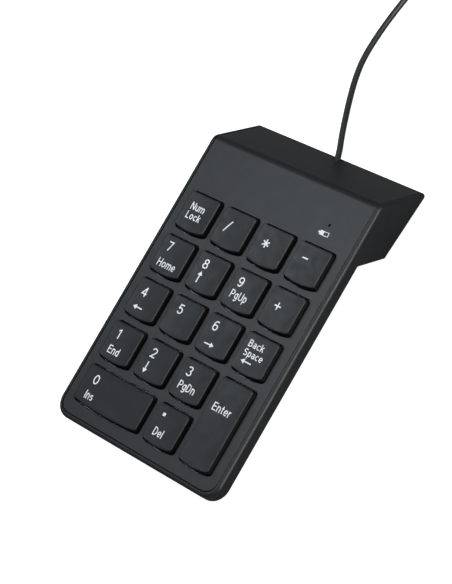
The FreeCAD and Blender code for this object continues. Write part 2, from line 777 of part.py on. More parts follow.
clamp = new_body("membrane_clamp", on_deck())
sk = sketch(clamp, "clamp_outline", at=(0, 0, -S["floor_z"] + S["sheet_thick"] * 3))
round_box(sk, -27.5, 27.5, S["clamp_y"] - 2.6, S["clamp_y"] + 2.6, 1.5)
for s in (-1, 1):
    circle(sk, S["clamp_screw_x"] * s, S["clamp_y"], 1.1)
pad(clamp, sk, 1.5)

lamp = new_body("status_led", on_deck())
sk = sketch(lamp, "led_outline", at=(0, 0, -S["floor_z"]))
box(sk, S["lamp_x"] - 1.0, S["lamp_x"] + 1.0, S["lamp_y"] - 0.7, S["lamp_y"] + 0.7)
pad(lamp, sk, 0.8)

pipe = new_body("light_pipe", on_deck())
sk = sketch(pipe, "pipe_shaft", at=(0, 0, -S["floor_z"] + 1.0))
circle(sk, S["lamp_x"], S["lamp_y"], S["lamp_radius"])
pad(pipe, sk, S["floor_z"] - 1.0 - 0.75)
sk = sketch(pipe, "pipe_flange", at=(0, 0, -S["wall"] - 0.6))
circle(sk, S["lamp_x"], S["lamp_y"], S["lamp_radius"] * 2.2)
pad(pipe, sk, 0.6)


# ---------------------------------------------------------------- screws
def screw(x, y, seat, up, label, head_r, head_h, shaft_r, shaft_l):
    """One screw along the deck's normal: its head below its seat when up is 1."""
    head = Part.makeCylinder(head_r, head_h, Vector(x, y, seat), Vector(0, 0, -up))
    shaft = Part.makeCylinder(shaft_r, shaft_l + 0.05, Vector(x, y, seat - 0.05 * up), Vector(0, 0, up))
    tip = seat - up * head_h
    solid = head.fuse(shaft)
    for a, b in ((head_r * 1.1, 0.32), (0.32, head_r * 1.1)):
        lo = min(tip, tip + up * head_h * 0.6)
        solid = solid.cut(Part.makeBox(a, b, head_h * 0.6, Vector(x - a / 2, y - b / 2, lo)))
    return solid.removeSplitter()


def group(label, solids, place):
    obj = doc.addObject("Part::Feature", "Group_" + label)
    obj.Label = label
    obj.Shape = Part.makeCompound(solids) if len(solids) > 1 else solids[0]
    obj.Placement = place
    NODES.append(obj)
    return obj


hr, hh, sr, sl = (S[k].v for k in ("head_radius", "head_high", "shaft_radius", "shaft_long"))
screws = [
    screw(S["pitch"].v * c, S["pitch"].v * r, -S["slab_depth"].v + 0.7, 1, "", hr, hh, sr, sl)
    for c, r in FRONT_SCREWS
] + [
    screw(s * S["rear_x"].v, S["rear_y"].v, -S["rear_seat"].v, 1, "", hr, hh, sr, sl) for s in (-1, 1)
]
group("case_screws", screws, on_deck())
top_of_clamp = -S["floor_z"].v + 3 * S["sheet_thick"].v + 1.5
group(
    "clamp_screws",
    [screw(s * S["clamp_screw_x"].v, S["clamp_y"].v, top_of_clamp, -1, "", 1.7, 0.9, 0.85, 5.5) for s in (-1, 1)],
    on_deck(),
)

# ---------------------------------------------------------------- feet
def ground(y):
    """Height of the desk in the deck frame."""
    a = math.radians(S["tilt"].v)
    return -(S["rest_z"].v + y * math.sin(a)) / math.cos(a)


def foot(label, y0, y1, top0, top1, half_w, x):
    solids = []
    for s in (-1, 1):
        pts = [Vector(0, y0, top0), Vector(0, y1, top1), Vector(0, y1, ground(y1)), Vector(0, y0, ground(y0))]
        face = Part.Face(Part.makePolygon(pts + pts[:1]))
        solid = face.extrude(Vector(2 * half_w, 0, 0))
        solid.translate(Vector(s * x - half_w, 0, 0))
        edges = [
            e for e in solid.Edges
            if near(mid(e).y, y0, 0.05) or near(mid(e).y, y1, 0.05)
            if abs(e.tangentAt(e.FirstParameter).x) < 0.1
        ]
        solids.append(solid.makeFillet(1.6, edges))
    return group(label, solids, on_deck())


slope = (S["toe_z"].v - S["heel_z"].v) / (S["heel_y"].v - S["toe_y"].v)
under = lambda y: -S["toe_z"].v + slope * (y - S["toe_y"].v)
foot("feet_front", -50.0, -43.0, -S["slab_depth"].v, -S["slab_depth"].v, S["foot_half"].v, 31.0)
foot("feet_rear", 69.0, 76.0, under(69.0), under(76.0), S["pad_half"].v, 31.0)


# ---------------------------------------------------------------- tubes
def tube(points, diameter, report=None, fixed=None):
    """A round bar along straight runs joined by tangent arcs as large as the runs allow."""
    pts = [Vector(*p) for p in points]
    edges, last, radii, length = [], pts[0], [], 0.0
    for i in range(1, len(pts) - 1):
        a, b, c = pts[i - 1], pts[i], pts[i + 1]
        u, v = (b - a), (c - b)
        run = min(u.Length, v.Length)
        u.normalize()
        v.normalize()
        turn = math.acos(max(-1.0, min(1.0, u.dot(v))))
        back = 0.45 * run if fixed is None else fixed * math.tan(turn / 2)
        radius = back / math.tan(turn / 2)
        start, stop = b - u * back, b + v * back
        way = v - u
        way.normalize()
        centre = b + way * (radius / math.cos(turn / 2))
        middle = centre - way * radius
        if (start - last).Length > 1e-6:
            edges.append(Part.LineSegment(last, start).toShape())
        edges.append(Part.Arc(start, middle, stop).toShape())
        last = stop
        radii.append(radius)
    edges.append(Part.LineSegment(last, pts[-1]).toShape())
    wire = Part.Wire(edges)
    length = wire.Length
    first = pts[1] - pts[0]
    ring = Part.Wire([Part.Circle(pts[0], first, diameter / 2).toShape()])
    solid = wire.makePipeShell([ring], True, False)
    ideal = math.pi * (diameter / 2) ** 2 * length
    if report:
        print(
            f"{report}: length {length:.1f}, volume {solid.Volume:.1f} of {ideal:.1f}, "
            f"radii {', '.join(f'{x:.1f}' for x in radii)}, "
            f"runs {', '.join(f'{(pts[k + 1] - pts[k]).Length:.1f}' for k in range(len(pts) - 1))}"
        )
    if abs(solid.Volume / ideal - 1) > 0.01:
        raise RuntimeError("a tube's volume is wrong")
    return solid, length


# stabiliser wires, in the deck frame with their key's middle as origin
arm, off = S["wire_arm"].v, S["pivot_off"].v
rise, pz = S["wire_drop"].v, S["pivot_z"].v
flat = math.sqrt(arm * arm - rise * rise)
ends, stub = 13.7, 10.4
path = [
    (-stub, -off, -pz), (-ends, -off, -pz), (-ends, flat - off, -pz + rise),
    (ends, flat - off, -pz + rise), (ends, -off, -pz), (stub, -off, -pz),
]
solid, _ = tube(path, S["wire"].v, fixed=0.9)
group("stabilizer_wire_0", [solid], on_deck(S["pitch"].v * px["0"][0], S["pitch"].v * px["0"][1]))
path = [(-off, -stub, -pz), (-off, -ends, -pz), (flat - off, -ends, -pz + rise),
        (flat - off, ends, -pz + rise), (-off, ends, -pz), (-off, stub, -pz)]
solid, _ = tube(path, S["wire"].v, fixed=0.9)
group("stabilizer_wire_enter", [solid], on_deck(S["pitch"].v * px["enter"][0], S["pitch"].v * px["enter"][1]))

# ---------------------------------------------------------------- cable, in the desk frame
D = S["cord"].v
PORT = desk(S["port_x"].v, S["port_y"].v, -S["port_z"].v)
SWING = math.radians(S["port_swing"].v)


def along(dist, z):
    """A point on the line of the cable's exit, dist outward of the opening."""
    return (PORT.x - math.sin(SWING) * dist, PORT.y + math.cos(SWING) * dist, z)


grommet = new_body("cable_grommet", Placement(Vector(PORT.x, PORT.y, 0), Rotation(Vector(0, 0, 1), S["port_swing"].v)))
sk = sketch(grommet, "grommet_block", "XZ_Plane", at=(0, 0, 5.4))
round_box(sk, -3.4, 3.4, Q(2.15), Q(4.4), 0.6)
pad(grommet, sk, 3.4)

lead, _ = tube(
    [along(-8.8, 3.2), along(-12.3, 3.3), (6.0, 52.4, 4.8), (6.1, 49.9, 8.4), (5.9, 49.2, 13.6)], 1.8
)
group("cable_leads", [lead], Placement())

ROUTE = [
    along(-5.4, 2.6),
    along(2.6, 2.45),
    (-4.0, 76.3, 1.9),
    (-7.9, 83.9, 1.4),
    (-11.7, 92.2, 1.22),
    (-15.0, 100.6, 1.22),
    (-17.3, 109.0, 1.22),
    (-18.0, 118.5, 1.22),
    (-17.7, 130.5, 1.24),
    (-16.2, 143.5, 1.3),
    (-14.0, 157.0, 1.5),
    (-12.4, 170.0, 1.7),
]
TAIL = [
    (-30.3, 192.3, 9.05),
    (-38.3, 192.3, 8.9),
    (-46.15, 189.05, 7.8),
    (-52.16, 183.04, 6.2),
    (-55.4, 175.2, 4.7),
    (-55.4, 167.2, 3.9),
]
main, l1 = tube(ROUTE, D, "cable to coil")
tail, l2 = tube(TAIL, D, "cable to plug")
group("cable", [main, tail], Placement())

# four layers of turns, each four turns wide; a layer gives up a fifth of a turn to its steps
CX, CY = -30.3, 174.4
PITCH = 2.5
R_TURN = [17.9 - PITCH * k for k in range(4)]
r_in, r_out = R_TURN[3] - D / 2, R_TURN[0] + D / 2
ring = Part.makeCylinder(r_out, 9.8, Vector(CX, CY, 0.5)).cut(Part.makeCylinder(r_in, 9.8, Vector(CX, CY, 0.5)))
edges = [e for e in ring.Edges if isinstance(e.Curve, Part.Circle)]
ring = ring.makeFillet(1.0, edges)
group("cable_coil", [ring], Placement())
turns = 15.25 * 2 * math.pi * sum(R_TURN) / 4
print(f"coil turns {turns:.0f}, whole cable about {turns + l1 + l2:.0f}")

# tie: a flat band round the coil's section, on the side away from the entry
band = Part.makeBox(r_out - r_in + 1.0, 4.0, 10.8, Vector(CX - r_out - 0.5, CY - 2.0, 0.0))
band = band.makeFillet(1.4, [e for e in band.Edges if abs(e.tangentAt(e.FirstParameter).y) > 0.9])
hollow = Part.makeBox(r_out - r_in, 4.0, 9.8, Vector(CX - r_out, CY - 2.0, 0.5))
hollow = hollow.makeFillet(1.0, [e for e in hollow.Edges if abs(e.tangentAt(e.FirstParameter).y) > 0.9])
clip = Part.makeBox(1.6, 5.6, 5.0, Vector(CX - r_out - 2.1, CY - 2.8, 3.0))
clip = clip.makeFillet(0.5, [e for e in clip.Edges if abs(e.tangentAt(e.FirstParameter).x) > 0.9])
group("cable_tie", [band.cut(hollow).fuse(clip).removeSplitter()], Placement())

# USB plug lying flat beside the coil, its mouth towards the keypad
UX, UY, UZ = -55.4, 167.2, 3.9
plug = new_body("usb_plug_body", Placement(Vector(UX, UY, UZ), Rotation()))
sk = sketch(plug, "plug_grip", "XZ_Plane", at=(0, 0, 6.0))
round_box(sk, -7.9, 7.9, -3.9, 3.9, 1.8)
pad(plug, sk, 18.0)
neck = sketch(plug, "neck_wide", "XZ_Plane", at=(0, 0, 6.0))
circle(neck, 0, 0, 3.1)
thin = sketch(plug, "neck_thin", "XZ_Plane", at=(0, 0, -0.0))
circle(thin, 0, 0, 1.7)
loft = plug.newObject("PartDesign::AdditiveLoft", "Loft_neck")
loft.Profile = neck
loft.Sections = [thin]
doc.recompute()
socket = sketch(plug, "shell_socket", "XZ_Plane", at=(0, 0, 24.0))
box(socket, -6.0, 6.0, -2.25, 2.25)
pocket(plug, socket, 3.0, back=False)
fillet(plug, plug.Tip, 0.8, lambda e: near(mid(e).y, -6.0) and abs(mid(e).x) + abs(mid(e).z) > 3.6)

shell = new_body("usb_plug_shell", Placement(Vector(UX, UY, UZ), Rotation()))
sk = sketch(shell, "shell_outer", "XZ_Plane", at=(0, 0, 21.0))
round_box(sk, -6.0, 6.0, -2.25, 2.25, 0.45)
pad(shell, sk, 15.0)
sk = sketch(shell, "shell_inner", "XZ_Plane", at=(0, 0, 36.0))
round_box(sk, -5.7, 5.7, -1.95, 1.95, 0.2)
pocket(shell, sk, 14.0, back=False)
sk = sketch(shell, "latch_windows", at=(0, 0, 3.0))
for s in (-1, 1):
    box(sk, Q(2.6 * s - 1.1), Q(2.6 * s + 1.1), Q(-31.0), Q(-28.8))
pocket(shell, sk, 6.0)

tongue = new_body("usb_plug_tongue", Placement(Vector(UX, UY, UZ), Rotation()))
sk = sketch(tongue, "tongue_outline", "XZ_Plane", at=(0, 0, 22.0))
box(sk, -5.6, 5.6, Q(0.05), Q(1.85))
pad(tongue, sk, 12.6)

# ---------------------------------------------------------------- checks and export
doc.recompute()
bad = []
for obj in doc.Objects:
    if "Invalid" in obj.State or "Error" in obj.State:
        bad.append(obj.Name)
for node in NODES:
    if node.Shape.isNull() or not node.Shape.isValid() or not node.Shape.Solids:
        bad.append(node.Label)
if bad:
    raise RuntimeError("failed: " + ", ".join(bad))

os.makedirs("parts", exist_ok=True)
cords = {"cable", "cable_coil", "cable_tie", "usb_plug_body", "usb_plug_shell", "usb_plug_tongue"}
box_all = FreeCAD.BoundBox()
for node in NODES:
    shape = node.Shape
    shape.exportStep(f"parts/{node.Label}.step")
    if node.Label not in cords:
        box_all.add(shape.optimalBoundingBox(True, False))
print(f"{len(NODES)} nodes; housing box {box_all}")
print("cable leaves at", PORT, "route", [tuple(round(c, 3) for c in p) for p in ROUTE[:2]])
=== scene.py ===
import math
import random

import bmesh
import bpy
from mathutils import Matrix, Vector


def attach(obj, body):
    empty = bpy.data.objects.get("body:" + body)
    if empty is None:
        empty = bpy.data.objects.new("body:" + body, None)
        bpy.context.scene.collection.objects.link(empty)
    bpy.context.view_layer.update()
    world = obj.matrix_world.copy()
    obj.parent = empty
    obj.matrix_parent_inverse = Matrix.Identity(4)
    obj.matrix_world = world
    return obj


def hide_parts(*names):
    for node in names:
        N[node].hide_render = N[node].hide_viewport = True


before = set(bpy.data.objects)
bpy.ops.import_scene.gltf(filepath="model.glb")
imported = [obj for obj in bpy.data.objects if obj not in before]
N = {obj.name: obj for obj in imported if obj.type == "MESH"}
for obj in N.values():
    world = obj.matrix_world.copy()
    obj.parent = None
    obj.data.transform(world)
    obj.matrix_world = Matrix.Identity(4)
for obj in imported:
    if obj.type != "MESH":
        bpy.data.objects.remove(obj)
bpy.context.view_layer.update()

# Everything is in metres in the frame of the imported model. Numbers in the deck's own frame are millimetres,
# X right, Y rear, Z off the deck, and go through deck().
random.seed(7)
MM = 0.001
scene = bpy.context.scene

# ------------------------------------------------------------------ camera
cam_data = bpy.data.cameras.new("camera")
cam_data.sensor_width = 36.0
cam_data.lens = 125.12
cam_data.clip_start = 0.01
cam_data.clip_end = 20.0
camera = bpy.data.objects.new("camera", cam_data)
scene.collection.objects.link(camera)
camera.matrix_world = Matrix(
    (
        (0.706000, -0.349484, 0.615975, 0.462087),
        (0.548945, 0.819577, -0.164172, -0.122794),
        (-0.447463, 0.454042, 0.770469, 0.591226),
        (0.0, 0.0, 0.0, 1.0),
    )
)
scene.camera = camera

# ------------------------------------------------------------------ the deck's frame
TILT = math.radians(6.0)
DECK = Matrix.Translation((0.0, -0.01577, 0.012935)) @ Matrix.Rotation(TILT, 4, "X")
PITCH = 19.0
KEYS = [
    ("num_lock", -1.5, 2.0, 1, 1),
    ("divide", -0.5, 2.0, 1, 1),
    ("multiply", 0.5, 2.0, 1, 1),
    ("subtract", 1.5, 2.0, 1, 1),
    ("7", -1.5, 1.0, 1, 1),
    ("8", -0.5, 1.0, 1, 1),
    ("9", 0.5, 1.0, 1, 1),
    ("add", 1.5, 1.0, 1, 1),
    ("4", -1.5, 0.0, 1, 1),
    ("5", -0.5, 0.0, 1, 1),
    ("6", 0.5, 0.0, 1, 1),
    ("backspace", 1.5, 0.0, 1, 1),
    ("1", -1.5, -1.0, 1, 1),
    ("2", -0.5, -1.0, 1, 1),
    ("3", 0.5, -1.0, 1, 1),
    ("enter", 1.5, -1.5, 1, 2),
    ("0", -1.0, -2.0, 2, 1),
    ("decimal", 0.5, -2.0, 1, 1),
]


TO_DECK = DECK.inverted()


def deck(x, y, z=0.0):
    """A point in the deck's millimetres, in the model's metres."""
    return DECK @ Vector((x * MM, y * MM, z * MM))


# ------------------------------------------------------------------ materials
def graph(name):
    m = bpy.data.materials.new(name)
    m.use_nodes = True
    nt = m.node_tree
    for n in list(nt.nodes):
        nt.nodes.remove(n)
    out = nt.nodes.new("ShaderNodeOutputMaterial")
    bsdf = nt.nodes.new("ShaderNodeBsdfPrincipled")
    nt.links.new(bsdf.outputs[0], out.inputs[0])
    return m, nt, bsdf


def node(nt, kind, links=(), **values):
    n = nt.nodes.new(kind)
    for k, v in values.items():
        if hasattr(n, k) and k not in n.inputs.keys():
            setattr(n, k, v)
        else:
            n.inputs[k].default_value = v
    for socket, source in links:
        nt.links.new(source, n.inputs[socket])
    return n


def ramp(nt, source, stops):
    n = nt.nodes.new("ShaderNodeValToRGB")
    e = n.color_ramp.elements
    while len(e) < len(stops):
        e.new(0.5)
    for k, (at, c) in enumerate(stops):
        e[k].position = at
        e[k].color = (c, c, c, 1) if isinstance(c, (int, float)) else (*c, 1)
    nt.links.new(source, n.inputs[0])
    return n.outputs[0]


def mix_color(nt, kind, fac, a, b):
    n = nt.nodes.new("ShaderNodeMix")
    n.data_type = "RGBA"
    n.blend_type = kind
    for socket, v in ((n.inputs[0], fac), (n.inputs[6], a), (n.inputs[7], b)):
        if hasattr(v, "is_output"):
            nt.links.new(v, socket)
        elif isinstance(v, (int, float)):
            socket.default_value = v
        else:
            socket.default_value = (*v, 1.0)
    return n.outputs[2]


def shade(c, k):
    return tuple(min(1.0, x * k) for x in c)


def moulded(
    name, base, rough, grain=2400.0, depth=0.000012, patch=28.0, spread=0.12, wear=0.35,
    worn=None, spec=0.5, rough_spread=0.07, streak=None, metallic=0.0, coat=0.0,
):
    """Fine-textured moulded plastic or rubber: spark texture, soft patches, edges polished by handling."""
    m, nt, bsdf = graph(name)
    tc = node(nt, "ShaderNodeTexCoord").outputs["Object"]
    big = node(nt, "ShaderNodeTexNoise", [("Vector", tc)], Scale=patch, Detail=4.0, Roughness=0.55)
    fine = node(nt, "ShaderNodeTexNoise", [("Vector", tc)], Scale=grain, Detail=2.0, Roughness=0.6)
    pit = node(nt, "ShaderNodeTexVoronoi", [("Vector", tc)], Scale=grain * 0.72, Randomness=1.0)
    handle = node(nt, "ShaderNodeTexNoise", [("Vector", tc)], Scale=patch * 5.5, Detail=5.0, Roughness=0.62)
    tone = ramp(nt, big.outputs[0], [(0.32, shade(base, 1 - spread)), (0.68, shade(base, 1 + spread))])
    speck = ramp(nt, fine.outputs[0], [(0.35, 0.88), (0.7, 1.12)])
    tone = mix_color(nt, "MULTIPLY", 1.0, tone, speck)
    geo = node(nt, "ShaderNodeNewGeometry")
    edge = ramp(nt, geo.outputs["Pointiness"], [(0.5, 0.0), (0.56, 1.0)])
    patchy = ramp(nt, handle.outputs[0], [(0.42, 0.0), (0.62, 1.0)])
    rub = node(nt, "ShaderNodeMath", [(0, edge), (1, patchy)], operation="MULTIPLY").outputs[0]
    rub = node(nt, "ShaderNodeMath", [(0, rub)], operation="MULTIPLY")
    rub.inputs[1].default_value = wear
    tone = mix_color(nt, "MIX", rub.outputs[0], tone, worn or shade(base, 1.9))
    nt.links.new(tone, bsdf.inputs["Base Color"])
    r = ramp(nt, handle.outputs[0], [(0.3, rough - rough_spread), (0.72, rough + rough_spread)])
    r = mix_color(nt, "MIX", rub.outputs[0], r, (max(0.12, rough - 0.18),) * 3)
    nt.links.new(r, bsdf.inputs["Roughness"])
    h = node(nt, "ShaderNodeMath", [(0, fine.outputs[0]), (1, pit.outputs[0])], operation="ADD").outputs[0]
    bump = node(nt, "ShaderNodeBump", [("Height", h)], Strength=0.6, Distance=depth)
    nt.links.new(bump.outputs[0], bsdf.inputs["Normal"])
    bsdf.inputs["Specular IOR Level"].default_value = spec
    bsdf.inputs["Metallic"].default_value = metallic
    bsdf.inputs["Coat Weight"].default_value = coat
    if streak:
        wave = node(nt, "ShaderNodeTexNoise", [("Vector", node(nt, "ShaderNodeMapping", [("Vector", tc)], Scale=streak).outputs[0])],
                    Scale=900.0, Detail=3.0)
        second = node(nt, "ShaderNodeBump", [("Height", wave.outputs[0]), ("Normal", bump.outputs[0])], Strength=0.5, Distance=depth)
        nt.links.new(second.outputs[0], bsdf.inputs["Normal"])
    return m


def metal(name, base, rough, stretch=(1.0, 1.0, 40.0), grain=700.0):
    """Drawn or plated metal: fine brushed lines, dull patches and small scratches."""
    m, nt, bsdf = graph(name)
    tc = node(nt, "ShaderNodeTexCoord").outputs["Object"]
    lines = node(nt, "ShaderNodeMapping", [("Vector", tc)], Scale=stretch).outputs[0]
    brush = node(nt, "ShaderNodeTexNoise", [("Vector", lines)], Scale=grain, Detail=4.0, Roughness=0.6)
    dull = node(nt, "ShaderNodeTexNoise", [("Vector", tc)], Scale=240.0, Detail=5.0, Roughness=0.6)
    scratch = node(nt, "ShaderNodeTexWave", [("Vector", tc)], Scale=900.0, Distortion=18.0, Detail=3.0)
    tone = ramp(nt, dull.outputs[0], [(0.3, shade(base, 0.72)), (0.7, shade(base, 1.08))])
    tone = mix_color(nt, "MULTIPLY", 0.35, tone, ramp(nt, brush.outputs[0], [(0.3, 0.7), (0.7, 1.0)]))
    nt.links.new(tone, bsdf.inputs["Base Color"])
    nt.links.new(ramp(nt, dull.outputs[0], [(0.25, rough - 0.08), (0.75, rough + 0.12)]), bsdf.inputs["Roughness"])
    h = node(nt, "ShaderNodeMath", [(0, brush.outputs[0]), (1, scratch.outputs[0])], operation="ADD").outputs[0]
    bump = node(nt, "ShaderNodeBump", [("Height", h)], Strength=0.35, Distance=0.000008)
    nt.links.new(bump.outputs[0], bsdf.inputs["Normal"])
    bsdf.inputs["Metallic"].default_value = 1.0
    return m


def ink(name, base):
    """Pad-printed ink: slightly uneven cover, chalky surface."""
    m, nt, bsdf = graph(name)
    tc = node(nt, "ShaderNodeTexCoord").outputs["Object"]
    cover = node(nt, "ShaderNodeTexNoise", [("Vector", tc)], Scale=1400.0, Detail=4.0, Roughness=0.7)
    nt.links.new(ramp(nt, cover.outputs[0], [(0.25, shade(base, 0.86)), (0.6, base)]), bsdf.inputs["Base Color"])
    nt.links.new(ramp(nt, cover.outputs[0], [(0.3, 0.62), (0.7, 0.48)]), bsdf.inputs["Roughness"])
    bump = node(nt, "ShaderNodeBump", [("Height", cover.outputs[0])], Strength=0.4, Distance=0.000006)
    nt.links.new(bump.outputs[0], bsdf.inputs["Normal"])
    return m


def clear(name, base, rough, alpha_tone=0.2, grain=500.0):
    """Translucent resin, film or silicone: cloudy, with faint flow marks."""
    m, nt, bsdf = graph(name)
    tc = node(nt, "ShaderNodeTexCoord").outputs["Object"]
    cloud = node(nt, "ShaderNodeTexNoise", [("Vector", tc)], Scale=grain, Detail=4.0, Roughness=0.55)
    nt.links.new(ramp(nt, cloud.outputs[0], [(0.3, shade(base, 0.85)), (0.7, shade(base, 1.05))]), bsdf.inputs["Base Color"])
    nt.links.new(ramp(nt, cloud.outputs[0], [(0.3, rough - 0.06), (0.7, rough + 0.08)]), bsdf.inputs["Roughness"])
    bump = node(nt, "ShaderNodeBump", [("Height", cloud.outputs[0])], Strength=0.3, Distance=0.00001)
    nt.links.new(bump.outputs[0], bsdf.inputs["Normal"])
    bsdf.inputs["Transmission Weight"].default_value = alpha_tone
    return m


BLACK = (0.0150, 0.0158, 0.0168)
M = {
    "case": moulded("case_plastic", (0.0092, 0.0100, 0.0106), 0.50, grain=2300.0, depth=0.000011),
    "cover": moulded("cover_plastic", (0.0104, 0.0112, 0.0120), 0.47, grain=2100.0, depth=0.000013),
    "key": moulded("key_plastic", (0.0062, 0.0070, 0.0076), 0.42, grain=3000.0, depth=0.000008, patch=45.0, wear=0.5, spec=0.40),
    # painted shade: the keys' side-wall material is a darker, less shiny copy of the key plastic, standing for the
    # shadow between the keys
    "key_side_shade": moulded("key_side_painted_shade", (0.0040, 0.0044, 0.0048), 0.50, grain=3000.0, depth=0.000008, patch=45.0, wear=0.2, spec=0.22),
    # painted shade: the dark, matt gap-wall material stands for the shadow down in the seam and in the cover's windows
    # and lamp hole
    "gap_wall_shade": moulded("gap_wall_painted_shade", (0.0030, 0.0032, 0.0034), 0.75, grain=2100.0, wear=0.0, spec=0.06),
    "foot": moulded("foot_rubber", (0.020, 0.020, 0.021), 0.78, grain=1500.0, depth=0.00003, worn=(0.06, 0.058, 0.055)),
    "cord": moulded("cable_jacket", (0.0230, 0.0240, 0.0245), 0.36, grain=1700.0, depth=0.000012, patch=60.0, rough_spread=0.1),
    "tie": moulded("tie_plastic", (0.016, 0.016, 0.017), 0.66, grain=1200.0, depth=0.00004, worn=(0.05, 0.05, 0.05)),
    "grip": moulded("plug_grip", (0.0170, 0.0176, 0.0186), 0.46, grain=1500.0, depth=0.000015),
    "grommet": moulded("grommet_rubber", (0.02, 0.02, 0.02), 0.7, grain=1300.0, depth=0.00003),
    "clamp": moulded("clamp_plastic", (0.03, 0.03, 0.032), 0.55),
    "tongue": moulded("plug_tongue", (0.72, 0.72, 0.69), 0.5, spread=0.05, worn=(0.5, 0.5, 0.48)),
    "chip": moulded("chip_resin", (0.018, 0.018, 0.018), 0.6, grain=3500.0),
    "wires": moulded("inner_wires", (0.20, 0.20, 0.20), 0.5, streak=(1.0, 1.0, 8.0)),
    "shell": metal("plug_shell", (0.74, 0.73, 0.70), 0.26, stretch=(1.0, 22.0, 1.0)),
    "steel": metal("screw_steel", (0.60, 0.60, 0.58), 0.34, stretch=(6.0, 1.0, 1.0)),
    "spring": metal("spring_wire", (0.55, 0.55, 0.55), 0.30, stretch=(12.0, 1.0, 1.0)),
    "ink": ink("white_ink", (0.84, 0.85, 0.84)),
    "silicone": clear("dome_silicone", (0.62, 0.63, 0.60), 0.45, 0.25),
    "lamp": clear("led_resin", (0.75, 0.78, 0.70), 0.2, 0.4),
    "pipe": clear("light_pipe_clear", (0.004, 0.004, 0.005), 0.40, 0.0),
}


def film_material():
    m, nt, bsdf = graph("contact_film")
    tc = node(nt, "ShaderNodeTexCoord").outputs["Object"]
    brick = node(nt, "ShaderNodeTexBrick", [("Vector", tc)], Scale=110.0)
    brick.inputs["Color1"].default_value = (0.30, 0.32, 0.31, 1)
    brick.inputs["Color2"].default_value = (0.34, 0.36, 0.35, 1)
    brick.inputs["Mortar"].default_value = (0.62, 0.63, 0.62, 1)
    brick.inputs["Mortar Size"].default_value = 0.035
    cloud = node(nt, "ShaderNodeTexNoise", [("Vector", tc)], Scale=300.0, Detail=3.0)
    tone = mix_color(nt, "MULTIPLY", 0.3, brick.outputs[0], ramp(nt, cloud.outputs[0], [(0.3, 0.7), (0.7, 1.0)]))
    nt.links.new(tone, bsdf.inputs["Base Color"])
    nt.links.new(ramp(nt, cloud.outputs[0], [(0.3, 0.22), (0.7, 0.36)]), bsdf.inputs["Roughness"])
    bump = node(nt, "ShaderNodeBump", [("Height", brick.outputs[1])], Strength=0.3, Distance=0.00002)
    nt.links.new(bump.outputs[0], bsdf.inputs["Normal"])
    return m


def board_material():
    m, nt, bsdf = graph("circuit_board")
    tc = node(nt, "ShaderNodeTexCoord").outputs["Object"]
    weave = node(nt, "ShaderNodeTexChecker", [("Vector", tc)], Scale=2600.0)
    weave.inputs["Color1"].default_value = (0.012, 0.075, 0.030, 1)
    weave.inputs["Color2"].default_value = (0.015, 0.090, 0.036, 1)
    track = node(nt, "ShaderNodeTexBrick", [("Vector", tc)], Scale=260.0)
    track.inputs["Color1"].default_value = (1, 1, 1, 1)
    track.inputs["Color2"].default_value = (0.9, 0.9, 0.9, 1)
    track.inputs["Mortar"].default_value = (0.45, 0.5, 0.45, 1)
    track.inputs["Mortar Size"].default_value = 0.05
    tone = mix_color(nt, "MULTIPLY", 0.6, weave.outputs[0], track.outputs[0])
    nt.links.new(tone, bsdf.inputs["Base Color"])
    n = node(nt, "ShaderNodeTexNoise", [("Vector", tc)], Scale=400.0, Detail=3.0)
    nt.links.new(ramp(nt, n.outputs[0], [(0.3, 0.28), (0.7, 0.42)]), bsdf.inputs["Roughness"])
    bump = node(nt, "ShaderNodeBump", [("Height", track.outputs[1])], Strength=0.4, Distance=0.00003)
    nt.links.new(bump.outputs[0], bsdf.inputs["Normal"])
    return m


M["film"] = film_material()
M["board"] = board_material()


# ------------------------------------------------------------------ mesh helpers
def piece(name, verts, faces, material, body, smooth=True, angle=35.0):
    mesh = bpy.data.meshes.new(name)
    mesh.from_pydata([tuple(v) for v in verts], [], faces)
    mesh.validate()
    bm = bmesh.new()
    bm.from_mesh(mesh)
    bmesh.ops.remove_doubles(bm, verts=bm.verts, dist=1e-7)
    bmesh.ops.recalc_face_normals(bm, faces=bm.faces)
    for e in bm.edges:
        e.smooth = not (len(e.link_faces) == 2 and e.calc_face_angle(0.0) > math.radians(angle))
    for f in bm.faces:
        f.smooth = smooth
    bm.to_mesh(mesh)
    bm.free()
    mesh.materials.append(material)
    o = bpy.data.objects.new(name, mesh)
    scene.collection.objects.link(o)
    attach(o, body)
    return o


class Mesh:
    """Vertices and faces collected before they become one piece."""

    def __init__(self):
        self.v, self.f = [], []

    def loft(self, rings, cap_first=True, cap_last=True, closed=True):
        base = len(self.v)
        n = len(rings[0])
        for r in rings:
            self.v.extend(r)
        for k in range(len(rings) - 1):
            for i in range(n if closed else n - 1):
                j = (i + 1) % n
                a, b = base + k * n, base + (k + 1) * n
                self.f.append((a + i, a + j, b + j, b + i))
        if cap_first:
            self.f.append(tuple(reversed(range(base, base + n))))
        if cap_last:
            self.f.append(tuple(range(base + (len(rings) - 1) * n, base + len(rings) * n)))

    def fan(self, ring, middle):
        base = len(self.v)
        self.v.extend(ring)
        self.v.append(middle)
        n = len(ring)
        for i in range(n):
            self.f.append((base + i, base + (i + 1) % n, base + n))

    def block(self, lo, hi, r=0.12, place=lambda p: p):
        """A box with soft edges, from three nested outlines."""
        x0, y0, z0 = lo
        x1, y1, z1 = hi

        def ring(d, z):
            out = []
            cr = max(r * 1.6, 1e-3)
            for cx, cy, a0 in ((x1 - cr, y1 - cr, 0), (x0 + cr, y1 - cr, 90), (x0 + cr, y0 + cr, 180), (x1 - cr, y0 + cr, 270)):
                for k in range(5):
                    a = math.radians(a0 + 22.5 * k)
                    out.append(place(Vector((cx + (cr - d) * math.cos(a), cy + (cr - d) * math.sin(a), z))))
            return out

        self.loft([ring(r, z0), ring(r * 0.3, z0 + r * 0.3), ring(0, z0 + r), ring(0, z1 - r), ring(r * 0.3, z1 - r * 0.3), ring(r, z1)])


